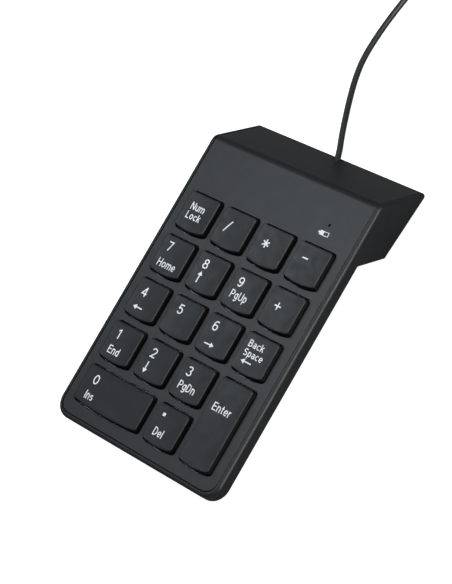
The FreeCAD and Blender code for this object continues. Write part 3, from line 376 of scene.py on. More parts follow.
# ------------------------------------------------------------------ cable: one length, from the housing to its plug
ROUTE = [
    (0.002509, 0.062777, 0.002600),
    (-0.000319, 0.070260, 0.002450),
    (-0.0040, 0.0763, 0.00190),
    (-0.0079, 0.0839, 0.00140),
    (-0.0117, 0.0922, 0.00122),
    (-0.0150, 0.1006, 0.00122),
    (-0.0173, 0.1090, 0.00122),
    (-0.0180, 0.1185, 0.00122),
    (-0.0177, 0.1305, 0.00124),
    (-0.0162, 0.1435, 0.00130),
    (-0.0140, 0.1570, 0.00150),
    (-0.0124, 0.1700, 0.00170),
]
TAIL = [
    (-0.0303, 0.1923, 0.00905),
    (-0.0383, 0.1923, 0.00890),
    (-0.04615, 0.18905, 0.00780),
    (-0.05216, 0.18304, 0.00620),
    (-0.0554, 0.1752, 0.00470),
    (-0.0554, 0.1672, 0.00390),
]
COIL = (-0.0303, 0.1744)
TURN_R = [0.0179, 0.0154, 0.0129, 0.0104]
LAYER_Z = [0.00170, 0.00415, 0.00660, 0.00905]
# (from angle, to angle, radius index from, to, layer from, to): steps sideways and up, one after another
STEPS = []
for t in (0, 1, 2):
    STEPS.append((360 * t + 309, 360 * t + 345, t, t + 1, 0, 0))
STEPS.append((360 * 3 + 273, 360 * 3 + 309, 3, 3, 0, 1))
for k, t in enumerate((4, 5, 6)):
    STEPS.append((360 * t + 237, 360 * t + 273, 3 - k, 2 - k, 1, 1))
STEPS.append((360 * 7 + 201, 360 * 7 + 237, 0, 0, 1, 2))
for k, t in enumerate((8, 9, 10)):
    STEPS.append((360 * t + 165, 360 * t + 201, k, k + 1, 2, 2))
STEPS.append((360 * 11 + 129, 360 * 11 + 165, 3, 3, 2, 3))
for k, t in enumerate((12, 13, 14)):
    STEPS.append((360 * t + 93, 360 * t + 129, 3 - k, 2 - k, 3, 3))


def turn(angle):
    """A point of the winding at that many degrees from where the cable meets it."""
    r, z = TURN_R[0], LAYER_Z[0]
    for a, b, r0, r1, z0, z1 in STEPS:
        if angle >= b:
            r, z = TURN_R[r1], LAYER_Z[z1]
        elif angle > a:
            t = (angle - a) / (b - a)
            t = t * t * (3 - 2 * t)
            r = TURN_R[r0] + (TURN_R[r1] - TURN_R[r0]) * t
            z = LAYER_Z[z0] + (LAYER_Z[z1] - LAYER_Z[z0]) * t
    a = math.radians(angle)
    return (COIL[0] + r * math.cos(a), COIL[1] + r * math.sin(a), z)


winding = []
for i in range(0, 15 * 24 + 6):
    x, y, z = turn(15 * i)
    slack = 0.00004 if 0 < i < 355 else 0.0
    winding.append((x + random.uniform(-slack, slack), y + random.uniform(-slack, slack), z))
points = ROUTE + winding + TAIL
curve = bpy.data.curves.new("usb_cable", "CURVE")
curve.dimensions = "3D"
spline = curve.splines.new("NURBS")
spline.points.add(len(points) - 1)
for p, co in zip(spline.points, points):
    p.co = (*co, 1.0)
spline.order_u = 3
spline.use_endpoint_u = True
spline.resolution_u = 5
curve.bevel_depth = 0.0012
curve.bevel_resolution = 3
curve.use_fill_caps = True
curve.materials.append(M["cord"])
cable = bpy.data.objects.new("usb_cable", curve)
scene.collection.objects.link(cable)
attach(cable, "housing")
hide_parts("cable", "cable_coil")

# plug grip: stepped relief, rounded shoulders, waisted grip with ribs
PX, PY, PZ = -0.0554, 0.1672, 0.0039


def plug_ring(back, a, b, r, n=40):
    """A rounded-rectangle ring of the plug, back mm ahead of the cable's end towards the mouth."""
    out = []
    r = min(r, a - 1e-4, b - 1e-4)
    per = n // 4
    for q, (sx, sz) in enumerate(((1, 1), (-1, 1), (-1, -1), (1, -1))):
        for k in range(per):
            t = math.radians(90.0 * q + 90.0 * k / (per - 1))
            out.append(Vector((PX + (sx * (a - r) + r * math.cos(t)) * MM, PY - back * MM, PZ + (sz * (b - r) + r * math.sin(t)) * MM)))
    return out


grip = Mesh()
rings = []
for back, a in ((0.0, 1.25), (0.0, 1.55), (0.15, 1.68)):
    rings.append(plug_ring(back, a, a, a))
for k in range(4):
    s = 0.35 + 1.35 * k
    a = 1.75 + 0.28 * k
    for d, g in ((0.0, 0.0), (0.12, 0.12), (0.72, 0.16), (0.84, 0.0), (0.9, -0.22), (1.3, -0.2)):
        rings.append(plug_ring(s + d, a + g, a + g, a + g))
for back, a, b, r in (
    (5.9, 2.9, 2.9, 2.8), (6.05, 4.2, 3.1, 1.6), (6.2, 5.8, 3.35, 1.5), (6.5, 6.9, 3.6, 1.6), (7.0, 7.5, 3.75, 1.7), (7.8, 7.8, 3.84, 1.75),
    (9.0, 7.85, 3.86, 1.8), (11.5, 7.7, 3.8, 1.8), (14.5, 7.5, 3.72, 1.8), (17.5, 7.6, 3.76, 1.8), (20.5, 7.82, 3.84, 1.8),
    (22.9, 7.85, 3.86, 1.75), (23.5, 7.75, 3.76, 1.6), (23.85, 7.5, 3.5, 1.4), (24.0, 7.1, 3.1, 1.1), (24.0, 6.05, 2.3, 0.5),
):
    rings.append(plug_ring(back, a, b, r))
grip.loft(rings)
for sign in (1, -1):
    for k in range(6):
        y = PY - (10.6 + 1.5 * k) * MM
        top = [3.80, 3.77, 3.74, 3.73, 3.73, 3.75][k]

        def rib(p, y=y, sign=sign):
            return Vector((PX + p.x * MM, y + p.y * MM, PZ + sign * p.z * MM))

        w = [3.6, 4.2, 4.5, 4.5, 4.2, 3.6][k]
        grip.block((-w, -0.42, top - 0.3), (w, 0.42, top + 0.09), r=0.14, place=rib)
plug = piece("usb_plug_grip", grip.v, grip.f, M["grip"], "housing")
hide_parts("usb_plug_body")

# tie: a flat strap round the turns, its end laid over itself under a moulded clip
tie = Mesh()
sx0, sx1, sz0, sz1 = COIL[0] * 1000 - 19.1, COIL[0] * 1000 - 9.2, 0.45, 10.35


def tie_path(grow, n=9):
    """The strap's round trip about the bundle, grow mm outside it."""
    r = 1.4 + grow
    out = []
    for cx, cz, a0 in ((sx1 - 1.4, sz1 - 1.4, 0), (sx0 + 1.4, sz1 - 1.4, 90), (sx0 + 1.4, sz0 + 1.4, 180), (sx1 - 1.4, sz0 + 1.4, 270)):
        for k in range(n):
            a = math.radians(a0 + 90.0 * k / (n - 1))
            out.append((cx + r * math.cos(a), cz + r * math.sin(a)))
    return out


inner, outer = tie_path(0.02), tie_path(0.42)
mid_in, mid_out = tie_path(0.08), tie_path(0.36)


def tie_ring(path, y):
    return [Vector((x * MM, COIL[1] + y * MM, z * MM)) for x, z in path]


sections = [(inner, -1.8), (mid_in, -1.95), (mid_out, -1.95), (outer, -1.8), (outer, -1.0), (outer, 0.0), (outer, 1.0), (outer, 1.8),
            (mid_out, 1.95), (mid_in, 1.95), (inner, 1.8), (inner, 0.0), (inner, -1.8)]
tie.loft([tie_ring(p, y) for p, y in sections], cap_first=False, cap_last=False)
left = sx0 - 0.42


def tie_place(p):
    return Vector((p.x * MM, COIL[1] + p.y * MM, p.z * MM))


tie.block((left - 0.5, -1.7, 1.6), (left + 0.1, 1.7, 9.2), r=0.12, place=tie_place)
tie.block((left - 1.55, -2.75, 3.0), (left + 0.15, 2.75, 4.1), r=0.25, place=tie_place)
tie.block((left - 1.55, -2.75, 6.9), (left + 0.15, 2.75, 8.0), r=0.25, place=tie_place)
for s in (-1, 1):
    y0, y1 = sorted((s * 1.8, s * 2.75))
    tie.block((left - 1.5, y0, 3.1), (left + 0.15, y1, 7.9), r=0.2, place=tie_place)
for k in range(3):
    tie.block((left - 1.2, -1.75, 4.5 + 0.8 * k), (left - 0.3, 1.75, 4.9 + 0.8 * k), r=0.12, place=tie_place)
strap = piece("cable_tie_strap", tie.v, tie.f, M["tie"], "housing")
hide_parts("cable_tie")

# ------------------------------------------------------------------ keycaps
WIDTH, LENGTH, BOW, RISE, SKIRT = 15.2, 14.4, 1.1, 2.1, 1.95


def outline(w, l, grow, r, step=1.1):
    """A key's outline in mm about its middle: straight rear and sides, front edge bulging forward. The same number of points at every grow."""
    X, Y = w / 2 + grow, l / 2 + grow
    R = (X * X + BOW * BOW) / (2 * BOW)
    cy = R - Y - BOW
    yc = cy - math.sqrt((R - r) ** 2 - (X - r) ** 2)
    th = math.atan2(yc - cy, X - r)
    nx, ny = max(6, round(w / step)), max(6, round(l / step))
    pts = []
    for k in range(ny):
        pts.append((X, yc + (Y - r - yc) * k / ny))
    for k in range(6):
        a = math.radians(90 * k / 6)
        pts.append((X - r + r * math.cos(a), Y - r + r * math.sin(a)))
    for k in range(nx):
        pts.append((X - r - 2 * (X - r) * k / nx, Y))
    for k in range(6):
        a = math.radians(90 + 90 * k / 6)
        pts.append((-X + r + r * math.cos(a), Y - r + r * math.sin(a)))
    for k in range(ny):
        pts.append((-X, Y - r + (yc - Y + r) * k / ny))
    left = -math.pi - th
    for k in range(6):
        a = -math.pi + (left + math.pi) * k / 6
        pts.append((-X + r + r * math.cos(a), yc + r * math.sin(a)))
    for k in range(nx):
        a = left + (th - left) * k / nx
        pts.append((R * math.cos(a), cy + R * math.sin(a)))
    for k in range(6):
        a = th - th * k / 6
        pts.append((X - r + r * math.cos(a), yc + r * math.sin(a)))
    return pts


DISH = 0.17


def top_height(x, y, w, l):
    """A key's top over the deck, mm: a shallow trough along Y, level at its rim."""
    u, v = min(1.0, abs(x) / (w / 2 - 0.45)), min(1.0, abs(y) / (l / 2 - 0.45))
    return RISE - DISH * (1 - u ** 2.2) * (1 - 0.35 * v ** 4)


key_tops = {}
for name, c, r, columns, rows in KEYS:
    w, l = WIDTH + PITCH * (columns - 1), LENGTH + PITCH * (rows - 1)
    key_tops[name] = (c * PITCH, r * PITCH, w, l)

    def at(pts, z, c=c, r=r):
        return [deck(c * PITCH + x, r * PITCH + y, z) for x, y in pts]

    cap = Mesh()
    shell = [
        at(outline(w, l, 0.30 - 0.12, 0.98), -SKIRT),
        at(outline(w, l, 0.30, 1.1), -SKIRT + 0.12),
        at(outline(w, l, 0.30, 1.1), -0.4),
        at(outline(w, l, 0.28, 1.1), 0.25),
        at(outline(w, l, 0.14, 1.05), 1.1),
        at(outline(w, l, 0.05, 1.0), 1.62),
    ]
    for k in range(6):  # rolled edge
        a = math.radians(90 * k / 5)
        shell.append(at(outline(w, l, 0.02 - 0.36 * (1 - math.cos(a)), 0.96 - 0.30 * (1 - math.cos(a))), 1.74 + 0.36 * math.sin(a)))
    rim = outline(w, l, -0.42, 0.6)
    for s in (1.0, 0.975, 0.94, 0.89, 0.82, 0.73, 0.62, 0.5, 0.38, 0.26, 0.14):
        shell.append([deck(c * PITCH + x * s, r * PITCH + y * s, top_height(x * s, y * s, w, l)) for x, y in rim])
    cap.loft(shell, cap_first=False, cap_last=False)
    cap.fan(shell[-1], deck(c * PITCH, r * PITCH, top_height(0, 0, w, l)))
    # inside of the cap
    hollow = [
        at(outline(w, l, 0.30 - 0.12, 0.98), -SKIRT),
        at(outline(w, l, 0.30 - 0.80, 0.5), -SKIRT + 0.05),
        at(outline(w, l, 0.30 - 0.9, 0.4), 0.4),
        at(outline(w, l, 0.30 - 1.1, 0.4), 1.0),
    ]
    cap.loft(hollow, cap_first=False, cap_last=True)
    # stem over the dome, a round tube
    stem = []
    for rr, z in ((1.2, -1.45), (1.9, -1.45), (2.1, -1.25), (2.1, 0.8), (2.35, 1.05)):
        stem.append(at([(rr * math.cos(math.radians(15 * k)), rr * math.sin(math.radians(15 * k))) for k in range(24)], z))
    cap.loft(stem)
    # stop tabs
    place = lambda p, c=c, r=r: deck(c * PITCH + p.x, r * PITCH + p.y, p.z)
    X = w / 2 + 0.3
    for mid in ([0.0] if rows == 1 else [-9.5, 9.5]):
        for s in (-1, 1):
            x0, x1 = sorted((s * (X - 0.5), s * (X + 0.78)))
            cap.block((x0, mid - 2.45, -SKIRT + 0.02), (x1, mid + 2.45, -SKIRT + 0.4), r=0.1, place=place)
    if name in ("0", "enter"):  # clips over the stabiliser wire
        bar = 8.0 - 2.8
        for s in (-1, 1):
            for lo, hi in ((bar - 1.4, bar - 0.66), (bar + 0.66, bar + 1.4)):
                a0, a1 = 8.6 * s - 0.78, 8.6 * s + 0.78
                if name == "0":
                    cap.block((a0, lo, -2.28), (a1, hi, 1.05), r=0.1, place=place)
                else:
                    cap.block((lo, a0, -2.28), (hi, a1, 1.05), r=0.1, place=place)
    o = piece("keycap_" + name, cap.v, cap.f, M["key"], "key_" + name, angle=40.0)
    o.data.materials.append(M["key_side_shade"])
    # painted shade: faces of the cap that face sideways or down, below the rolled edge, take the darker wall material,
    # standing for the shadow between the keys
    for p in o.data.polygons:
        if (TO_DECK.to_3x3() @ p.normal).z < 0.6 and (TO_DECK @ p.center).z < 1.72 * MM:
            p.material_index = 1
    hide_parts("key_" + name)

# ------------------------------------------------------------------ legends
INK_TOP, INK_LOW = 0.020, 0.004


def drape(name, mesh_obj, w, l, cx, cy):
    """Lays a flat outline mesh, in a key's own mm, on the key's top as a thin layer."""
    bm = bmesh.new()
    bm.from_mesh(mesh_obj)
    bmesh.ops.remove_doubles(bm, verts=bm.verts, dist=1e-4)
    bmesh.ops.triangulate(bm, faces=bm.faces)
    for _ in range(2):
        longer = [e for e in bm.edges if e.calc_length() > 1.2]
        if longer:
            bmesh.ops.subdivide_edges(bm, edges=longer, cuts=1)
            bmesh.ops.triangulate(bm, faces=bm.faces)
    verts = [v.co.copy() for v in bm.verts]
    faces = [tuple(v.index for v in f.verts) for f in bm.faces]
    edges = [tuple(v.index for v in e.verts) for e in bm.edges if len(e.link_faces) == 1]
    bm.free()
    n = len(verts)
    height = (lambda x, y: top_height(x, y, w, l)) if w else (lambda x, y: 0.0)
    low = [deck(cx + v.x, cy + v.y, height(v.x, v.y) + INK_LOW) for v in verts]
    high = [deck(cx + v.x, cy + v.y, height(v.x, v.y) + INK_TOP + v.z) for v in verts]
    out = [f for f in faces] + [tuple(i + n for i in reversed(f)) for f in faces]
    out += [(a, b, b + n, a + n) for a, b in edges]
    return low + high, out


def flat_mesh(polys, lift=0.0):
    """Flat polygons given as lists of (x, y)."""
    mesh = bpy.data.meshes.new("flat")
    v, f = [], []
    for p in polys:
        f.append(tuple(range(len(v), len(v) + len(p))))
        v.extend((q[0], q[1], q[2] if len(q) > 2 else lift) for q in p)
    mesh.from_pydata(v, [], f)
    return mesh


def arc(cx, cy, rx, ry, a0, a1, step=14.0):
    n = max(3, round(abs(a1 - a0) / step))
    return [(cx + rx * math.cos(math.radians(a0 + (a1 - a0) * k / n)), cy + ry * math.sin(math.radians(a0 + (a1 - a0) * k / n))) for k in range(n + 1)]


def stroke(path, width, lift=0.0):
    """A line of constant width along a path, mitred at its bends; a path that ends where it starts is closed."""
    path = [Vector((*p, 0.0)) for p in path]
    closed = (path[0] - path[-1]).length < 1e-3
    if closed:
        path = path[:-1]
    n = len(path)
    sides = []
    for k, p in enumerate(path):
        before = path[k - 1] if (k or closed) else None
        after = path[(k + 1) % n] if (k < n - 1 or closed) else None
        d0 = (p - before).normalized() if before is not None else (after - p).normalized()
        d1 = (after - p).normalized() if after is not None else d0
        d = (d0 + d1).normalized()
        grow = min(1.0 / max(d.dot(d1), 0.2), 2.2) * width / 2
        side = Vector((-d.y, d.x, 0.0)) * grow
        sides.append((p + side, p - side))
    out = []
    for k in range(n if closed else n - 1):
        a, b = sides[k], sides[(k + 1) % n]
        out.append([(a[0].x, a[0].y, lift), (a[1].x, a[1].y, lift), (b[1].x, b[1].y, lift), (b[0].x, b[0].y, lift)])
    return out


# letters as centre lines in mm at a cap height of 3.27: (width, paths)
CAP = 3.27
GLYPHS = {
    "N": (2.15, [[(0.25, 0), (0.25, CAP)], [(1.9, 0), (1.9, CAP)], [(0.31, 3.12), (1.84, 0.15)]]),
    "H": (2.15, [[(0.25, 0), (0.25, CAP)], [(1.9, 0), (1.9, CAP)], [(0.25, 1.72), (1.9, 1.72)]]),
    "L": (1.70, [[(0.25, CAP), (0.25, 0.25), (1.7, 0.25)]]),
    "P": (1.95, [[(0.25, 0), (0.25, CAP)], [(0.25, 3.02)] + arc(1.0, 2.24, 0.70, 0.78, 90, -90) + [(0.25, 1.46)]]),
    "U": (2.10, [[(0.25, CAP)] + arc(1.05, 1.05, 0.80, 0.80, 180, 360) + [(1.85, CAP)]]),
    "D": (2.10, [[(0.25, 0), (0.25, CAP)], [(0.25, 3.02)] + arc(0.85, 1.635, 1.0, 1.385, 90, -90) + [(0.25, 0.25)]]),
    "E": (1.85, [[(1.8, 3.02), (0.25, 3.02), (0.25, 0.25), (1.85, 0.25)], [(0.25, 1.72), (1.68, 1.72)]]),
    "I": (0.50, [[(0.25, 0), (0.25, CAP)]]),
    "B": (2.00, [[(0.25, 0), (0.25, CAP)], [(0.25, 3.02)] + arc(1.05, 2.38, 0.60, 0.64, 90, -90) + [(0.25, 1.74)],
                 arc(1.08, 0.995, 0.67, 0.745, 90, -90) + [(0.25, 0.25)]]),
    "S": (1.95, [arc(0.97, 2.33, 0.72, 0.69, 28, 262) + arc(0.97, 0.94, 0.73, 0.69, 82, -152)]),
    "u": (1.74, [[(0.25, 2.4)] + arc(0.87, 0.92, 0.62, 0.67, 180, 350), [(1.49, 0), (1.49, 2.4)]]),
    "m": (2.74, [[(0.25, 0), (0.25, 2.4)], arc(0.81, 1.58, 0.56, 0.57, 170, 0) + [(1.37, 0)], arc(1.93, 1.58, 0.56, 0.57, 170, 0) + [(2.49, 0)]]),
    "n": (1.74, [[(0.25, 0), (0.25, 2.4)], arc(0.87, 1.50, 0.62, 0.65, 170, 0) + [(1.49, 0)]]),
    "o": (1.86, [arc(0.93, 1.2, 0.68, 0.95, 0, 360)]),
    "c": (1.66, [arc(0.93, 1.2, 0.68, 0.95, 46, 314)]),
    "k": (1.72, [[(0.25, 0), (0.25, CAP)], [(1.48, 2.4), (0.36, 1.02)], [(0.78, 1.5), (1.56, 0)]]),
    "e": (1.80, [[(0.3, 1.17), (1.61, 1.17)], arc(0.93, 1.2, 0.68, 0.95, -2, 316)]),
    "g": (1.76, [arc(0.87, 1.22, 0.62, 0.93, 0, 360), [(1.5, 2.4)] + arc(0.88, -0.15, 0.62, 0.50, 0, -150)]),
    "p": (1.76, [[(0.25, -0.85), (0.25, 2.4)], arc(0.88, 1.2, 0.63, 0.95, 0, 360)]),
    "d": (1.76, [[(1.51, 0), (1.51, CAP)], arc(0.88, 1.2, 0.63, 0.95, 0, 360)]),
    "a": (1.70, [arc(0.84, 1.62, 0.60, 0.53, 155, 0) + [(1.44, 0)], arc(0.84, 0.77, 0.59, 0.52, 0, 360)]),
    "s": (1.58, [arc(0.79, 1.68, 0.52, 0.47, 30, 262) + arc(0.79, 0.73, 0.54, 0.48, 82, -150)]),
    "l": (0.50, [[(0.25, 0), (0.25, CAP)]]),
    "t": (1.08, [[(0.5, 3.02)] + arc(0.92, 0.68, 0.42, 0.43, 180, 275), [(0.0, 2.15), (1.02, 2.15)]]),
    "r": (1.18, [[(0.25, 0), (0.25, 2.4)], arc(0.95, 1.42, 0.70, 0.73, 175, 80)]),
}
DIGITS = {  # cap height 3.9
    "0": [arc(1.33, 1.95, 1.03, 1.68, 0, 360)],
    "1": [[(1.75, 0), (1.75, 3.9)], [(1.72, 3.62), (0.72, 2.98)]],
    "2": [arc(1.3, 2.72, 0.98, 0.91, 172, -32) + [(0.42, 0.29), (2.42, 0.27)]],
    "3": [arc(1.25, 2.83, 0.90, 0.80, 158, -82), arc(1.25, 1.15, 1.02, 0.88, 82, -160)],
    "4": [[(1.9, 0), (1.9, 3.9)], [(1.82, 3.72), (0.32, 1.18), (2.62, 1.18)]],
    "5": [[(2.25, 3.63), (0.68, 3.63), (0.50, 1.98)], arc(1.28, 1.34, 1.02, 1.07, 138, -156)],
    "6": [arc(1.33, 1.24, 1.0, 0.97, 0, 360), arc(1.42, 1.95, 1.09, 1.68, 52, 190)],
    "7": [[(0.25, 3.63), (2.35, 3.63), (1.15, 0.0)]],
    "8": [arc(1.3, 2.86, 0.83, 0.77, 0, 360), arc(1.3, 1.17, 1.02, 0.90, 0, 360)],
    "9": [arc(1.27, 2.66, 1.0, 0.97, 0, 360), arc(1.18, 1.95, 1.09, 1.68, 232, 370)],
}


def word(text, x0, x1, y, cap=CAP, width=0.40, gap=0.33):
    """A word between x0 and x1 with its foot at y."""
    sy = cap / CAP
    total = sum(GLYPHS[c][0] for c in text) + gap * (len(text) - 1)
    sx = (x1 - x0) / total
    polys, at_x, k = [], 0.0, 0
    for c in text:
        wide, paths = GLYPHS[c]
        for path in paths:
            polys += stroke([(x0 + (at_x + px) * sx, y + py * sy) for px, py in path], width, 0.0015 * (k % 5))
            k += 1
        at_x += wide + gap
    return flat_mesh(polys)


def digit(text, x, y, scale=1.0, width=0.50):
    """A digit with its middle at x and its foot at y."""
    polys = []
    for k, path in enumerate(DIGITS[text]):
        polys += stroke([(x - 1.33 * scale + px * scale, y + py * scale) for px, py in path], width, 0.0015 * k)
    return flat_mesh(polys)


def arrow(x, y, angle, long=4.7, head=1.7, wide=2.1, shaft=0.5):
    """An arrow pointing at angle degrees, its middle at x, y: one closed outline."""
    h = long / 2
    pts = [(h, 0), (h - head, wide / 2), (h - head, shaft / 2), (-h + 0.1, shaft / 2), (-h, shaft / 2 - 0.1),
           (-h, -shaft / 2 + 0.1), (-h + 0.1, -shaft / 2), (h - head, -shaft / 2), (h - head, -wide / 2)]
    a = math.radians(angle)
    return flat_mesh([[(x + u * math.cos(a) - v * math.sin(a), y + u * math.sin(a) + v * math.cos(a)) for u, v in pts]])


def bar(x, y, long, thick, angle):
    """A straight stroke with soft corners."""
    h, t, e = long / 2, thick / 2, 0.09
    pts = [(h, t - e), (h - e, t), (-h + e, t), (-h, t - e), (-h, -t + e), (-h + e, -t), (h - e, -t), (h, -t + e)]
    a = math.radians(angle)
    return [(x + u * math.cos(a) - v * math.sin(a), y + u * math.sin(a) + v * math.cos(a)) for u, v in pts]


def star(x, y, r, thick, arms=6):
    pts = []
    for k in range(arms):
        a = math.radians(90 + 360 / arms * k)
        h = math.radians(180 / arms)
        ux, uy = math.cos(a), math.sin(a)
        pts.append((x + ux * r + uy * thick / 2, y + uy * r - ux * thick / 2))
        pts.append((x + ux * r - uy * thick / 2, y + uy * r + ux * thick / 2))
        inner_r = thick / 2 / math.sin(h)
        pts.append((x + inner_r * math.cos(a + h), y + inner_r * math.sin(a + h)))
    return pts


def cross(x, y, r, t):
    t = t / 2
    return [(x + u, y + v) for u, v in ((r, -t), (r, t), (t, t), (t, r), (-t, r), (-t, t), (-r, t), (-r, -t), (-t, -t), (-t, -r), (t, -r), (t, -t))]


LEGENDS = [
    ("num_lock", "a", word("Num", -4.2, 2.8, 0.2, 3.0, 0.40)),
    ("num_lock", "b", word("Lock", -4.25, 3.05, -3.6, 2.95, 0.40)),
    ("divide", "a", flat_mesh([bar(-2.7, 0.18, 5.2, 0.5, 65.0)])),
    ("multiply", "a", flat_mesh([star(-2.1, 0.3, 1.7, 0.56)])),
    ("subtract", "a", flat_mesh([bar(-2.2, 1.5, 2.6, 0.52, 0.0)])),
    ("add", "a", flat_mesh([cross(-2.1, 0.45, 1.5, 0.52)])),
    ("7", "b", word("Home", -4.7, 4.5, -5.66)),
    ("9", "b", word("PgUp", -4.8, 3.3, -4.2)),
    ("1", "b", word("End", -4.2, 1.6, -5.53)),
    ("3", "b", word("PgDn", -4.6, 3.7, -4.6)),
    ("0", "b", word("Ins", -12.2, -7.9, -5.7)),
    ("decimal", "b", word("Del", -3.8, 0.9, -4.93)),
    ("decimal", "a", flat_mesh([bar(-3.15, 3.5, 1.25, 1.25, 0.0)])),
    ("8", "b", arrow(-2.65, -2.64, 90.0)),
    ("4", "b", arrow(-1.9, -4.3, 180.0)),
    ("6", "b", arrow(-1.6, -4.3, 0.0)),
    ("2", "b", arrow(-2.9, -3.5, 270.0)),
    ("backspace", "a", word("Back", -5.0, 2.4, 1.78, 2.8, 0.38)),
    ("backspace", "b", word("Space", -5.1, 4.1, -1.85, 2.8, 0.38)),
    ("backspace", "c", arrow(-2.0, -3.8, 180.0, long=5.0)),
    ("enter", "a", word("Enter", -5.0, 4.0, 3.9)),
]
FEET = {"7": (-3.2, 0.95), "8": (-2.6, 0.85), "9": (-3.0, 0.55), "4": (-2.55, 0.2), "5": (-2.3, 0.55), "6": (-3.0, 1.0), "1": (-3.2, 0.65),
        "2": (-2.7, 0.5), "3": (-2.9, 0.8), "0": (-10.8, 0.45)}
for d, (x, y) in FEET.items():
    LEGENDS.append((d, "a", digit(d, x, y)))
for name, part, mesh in LEGENDS:
    cx, cy, w, l = key_tops[name]
    v, f = drape(name, mesh, w, l, cx, cy)
    bpy.data.meshes.remove(mesh)
    o = piece(f"legend_{name}_{part}", v, f, M["ink"], "key_" + name, smooth=False)

# indicator mark under the lamp: a small cell, half filled
mark = flat_mesh([
    [(24.05, 50.45), (24.75, 50.45), (24.75, 49.95), (26.6, 49.95), (26.6, 51.75), (24.75, 51.75), (24.75, 51.25), (24.05, 51.25)],
    [(26.6, 49.95), (28.9, 49.95), (28.9, 50.22), (26.6, 50.22)],
    [(28.9, 49.95), (28.9, 51.75), (28.63, 51.48), (28.63, 50.22), (28.9, 50.22)],
    [(28.9, 51.75), (26.6, 51.75), (26.6, 51.48), (28.63, 51.48)],
])
v, f = drape("mark", mark, 0, 0, 0.0, 0.0)
piece("lamp_mark", v, f, M["ink"], "housing", smooth=False)


def dress(name, material, bevel=None, segments=2, angle=24.0):
    o = N[name]
    o.data.materials.clear()
    o.data.materials.append(material)
    for p in o.data.polygons:
        p.use_smooth = True
    weld = o.modifiers.new("weld", "WELD")
    weld.merge_threshold = 0.000002
    if bevel:
        flat = o.modifiers.new("flat", "DECIMATE")
        flat.decimate_type = "DISSOLVE"
        flat.angle_limit = math.radians(0.4)
        soft = o.modifiers.new("soft", "BEVEL")
        soft.width = bevel
        soft.segments = segments
        soft.limit_method = "ANGLE"
        soft.angle_limit = math.radians(angle)
        soft.use_clamp_overlap = True
        soft.harden_normals = True
    even = o.modifiers.new("even", "WEIGHTED_NORMAL")
    even.mode = "FACE_AREA"
    even.weight = 50
    even.keep_sharp = True
    return o


def crease(name, angle=30.0):
    """Keeps a node's sharp corners sharp: its edges over the angle are marked."""
    o = N[name]
    bm = bmesh.new()
    bm.from_mesh(o.data)
    where = {}
    for e in bm.edges:
        key = tuple(sorted(tuple(round(c * 2e5) for c in v.co) for v in e.verts))
        where.setdefault(key, []).append(e)
    sharp = set()
    for key, edges in where.items():
        faces = {f for e in edges for f in e.link_faces}
        normals = [f.normal.copy() for f in faces if f.calc_area() > 1e-14]
        if any(a.angle(b, 0.0) > math.radians(angle) for i, a in enumerate(normals) for b in normals[:i]):
            sharp.update(e.index for e in edges)
    bm.free()
    for e in o.data.edges:
        e.use_edge_sharp = e.index in sharp


dress("bottom_case", M["case"])
dress("top_cover", M["cover"])
crease("bottom_case", 26.0)
crease("top_cover", 26.0)
# painted shade: the cover's outer wall, down in the seam, and the walls of its windows and lamp hole get a darker, matt
# material than its face, standing for the shadow in these gaps
cover = N["top_cover"]
cover.data.materials.append(M["gap_wall_shade"])
to_deck = TO_DECK @ cover.matrix_world
for p in cover.data.polygons:
    c, n = to_deck @ p.center, (to_deck.to_3x3() @ p.normal).normalized()
    if abs(n.z) < 0.3 and c.y < 60.0 * MM and c.z > -1.7 * MM:
        p.material_index = 1
for part, mat in (
    ("feet_front", "foot"), ("feet_rear", "foot"), ("case_screws", "steel"), ("clamp_screws", "steel"), ("status_led", "lamp"),
    ("light_pipe", "pipe"), ("cable_grommet", "grommet"), ("cable_leads", "wires"), ("controller_board", "board"),
    ("controller_chip", "chip"), ("membrane_clamp", "clamp"), ("membrane_top", "film"), ("membrane_spacer", "film"),
    ("membrane_bottom", "film"), ("usb_plug_shell", "shell"), ("usb_plug_tongue", "tongue"),
    ("stabilizer_wire_0", "spring"), ("stabilizer_wire_enter", "spring"),
):
    dress(part, M[mat])
    crease(part)
for name, *_ in KEYS:
    dress("dome_" + name, M["silicone"])

# ------------------------------------------------------------------ floor and light
floor_mesh = bpy.data.meshes.new("floor")
floor_mesh.from_pydata([(-3, -3, -0.00002), (3, -3, -0.00002), (3, 3, -0.00002), (-3, 3, -0.00002)], [], [(0, 1, 2, 3)])
floor = bpy.data.objects.new("floor", floor_mesh)
scene.collection.objects.link(floor)
fm = bpy.data.materials.new("pale_floor")
fm.use_nodes = True
nt = fm.node_tree
for n in list(nt.nodes):
    nt.nodes.remove(n)
out = nt.nodes.new("ShaderNodeOutputMaterial")
seen = nt.nodes.new("ShaderNodeBsdfDiffuse")
seen.inputs[0].default_value = (0.5, 0.5, 0.5, 1)
glow = nt.nodes.new("ShaderNodeEmission")
glow.inputs[0].default_value = (1, 1, 1, 1)
glow.inputs[1].default_value = 0.98
both = nt.nodes.new("ShaderNodeAddShader")
nt.links.new(seen.outputs[0], both.inputs[0])
nt.links.new(glow.outputs[0], both.inputs[1])
unseen = nt.nodes.new("ShaderNodeBsdfDiffuse")
unseen.inputs[0].default_value = (0.21, 0.212, 0.215, 1)
ray = nt.nodes.new("ShaderNodeLightPath")
pick = nt.nodes.new("ShaderNodeMixShader")
nt.links.new(ray.outputs["Is Camera Ray"], pick.inputs[0])
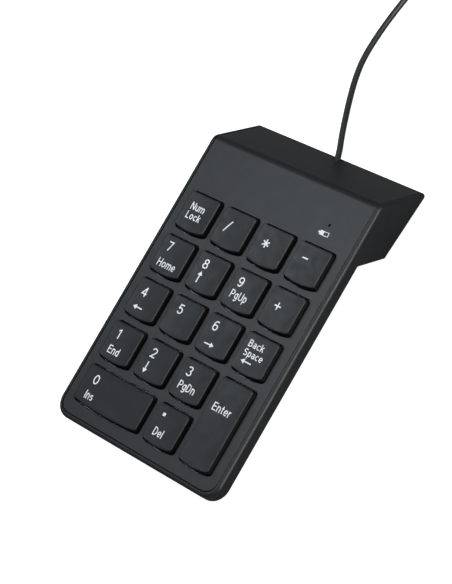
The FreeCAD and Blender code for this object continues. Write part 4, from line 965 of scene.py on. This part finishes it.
nt.links.new(unseen.outputs[0], pick.inputs[1])
nt.links.new(both.outputs[0], pick.inputs[2])
nt.links.new(pick.outputs[0], out.inputs[0])
floor_mesh.materials.append(fm)

world = bpy.data.worlds.new("studio")
scene.world = world
world.use_nodes = True
nt = world.node_tree
for n in list(nt.nodes):
    nt.nodes.remove(n)
wout = nt.nodes.new("ShaderNodeOutputWorld")
back = nt.nodes.new("ShaderNodeBackground")
nt.links.new(back.outputs[0], wout.inputs[0])
wtc = nt.nodes.new("ShaderNodeTexCoord")
sep = nt.nodes.new("ShaderNodeSeparateXYZ")
nt.links.new(wtc.outputs["Generated"], sep.inputs[0])
nt.links.new(ramp(nt, sep.outputs[2], [(0.0, (0.05, 0.05, 0.05)), (0.25, (0.12, 0.12, 0.125)), (0.55, (0.50, 0.56, 0.61)), (1.0, (0.64, 0.72, 0.79))]), back.inputs[0])
back.inputs[1].default_value = 0.36


def area(name, where, towards, size, power, size_y=None, tint=(0.91, 1.0, 1.07)):
    d = bpy.data.lights.new(name, "AREA")
    d.energy = power
    d.color = tint
    d.size = size
    if size_y:
        d.shape = "RECTANGLE"
        d.size_y = size_y
    o = bpy.data.objects.new(name, d)
    o.location = where
    o.rotation_mode = "QUATERNION"
    o.rotation_quaternion = (Vector(towards) - Vector(where)).to_track_quat("-Z", "Y")
    scene.collection.objects.link(o)
    return o


area("left_box", (-0.28, 0.03, 0.60), (0, 0, 0), 0.24, 1.0, 0.32, (0.93, 1.0, 1.06))
edge_light = area("right_box", (0.95, 0.19, 0.76), (0, 0, 0), 0.16, 8.5, 0.65, (1, 1, 0.99))
edge_light.visible_diffuse = False
area("low_box", (1.1, -0.05, 0.075), (0, 0, 0.01), 0.10, 8.0, 0.8, (1, 1, 0.98))
fill = area("top_box", (-0.05, 0.05, 1.3), (0, 0, 0), 0.5, 9.0, 0.5, (1, 1, 1))
fill.visible_glossy = False

scene.view_settings.view_transform = "Standard"
scene.view_settings.look = "None"
scene.view_settings.exposure = 0.0
scene.view_settings.gamma = 1.0
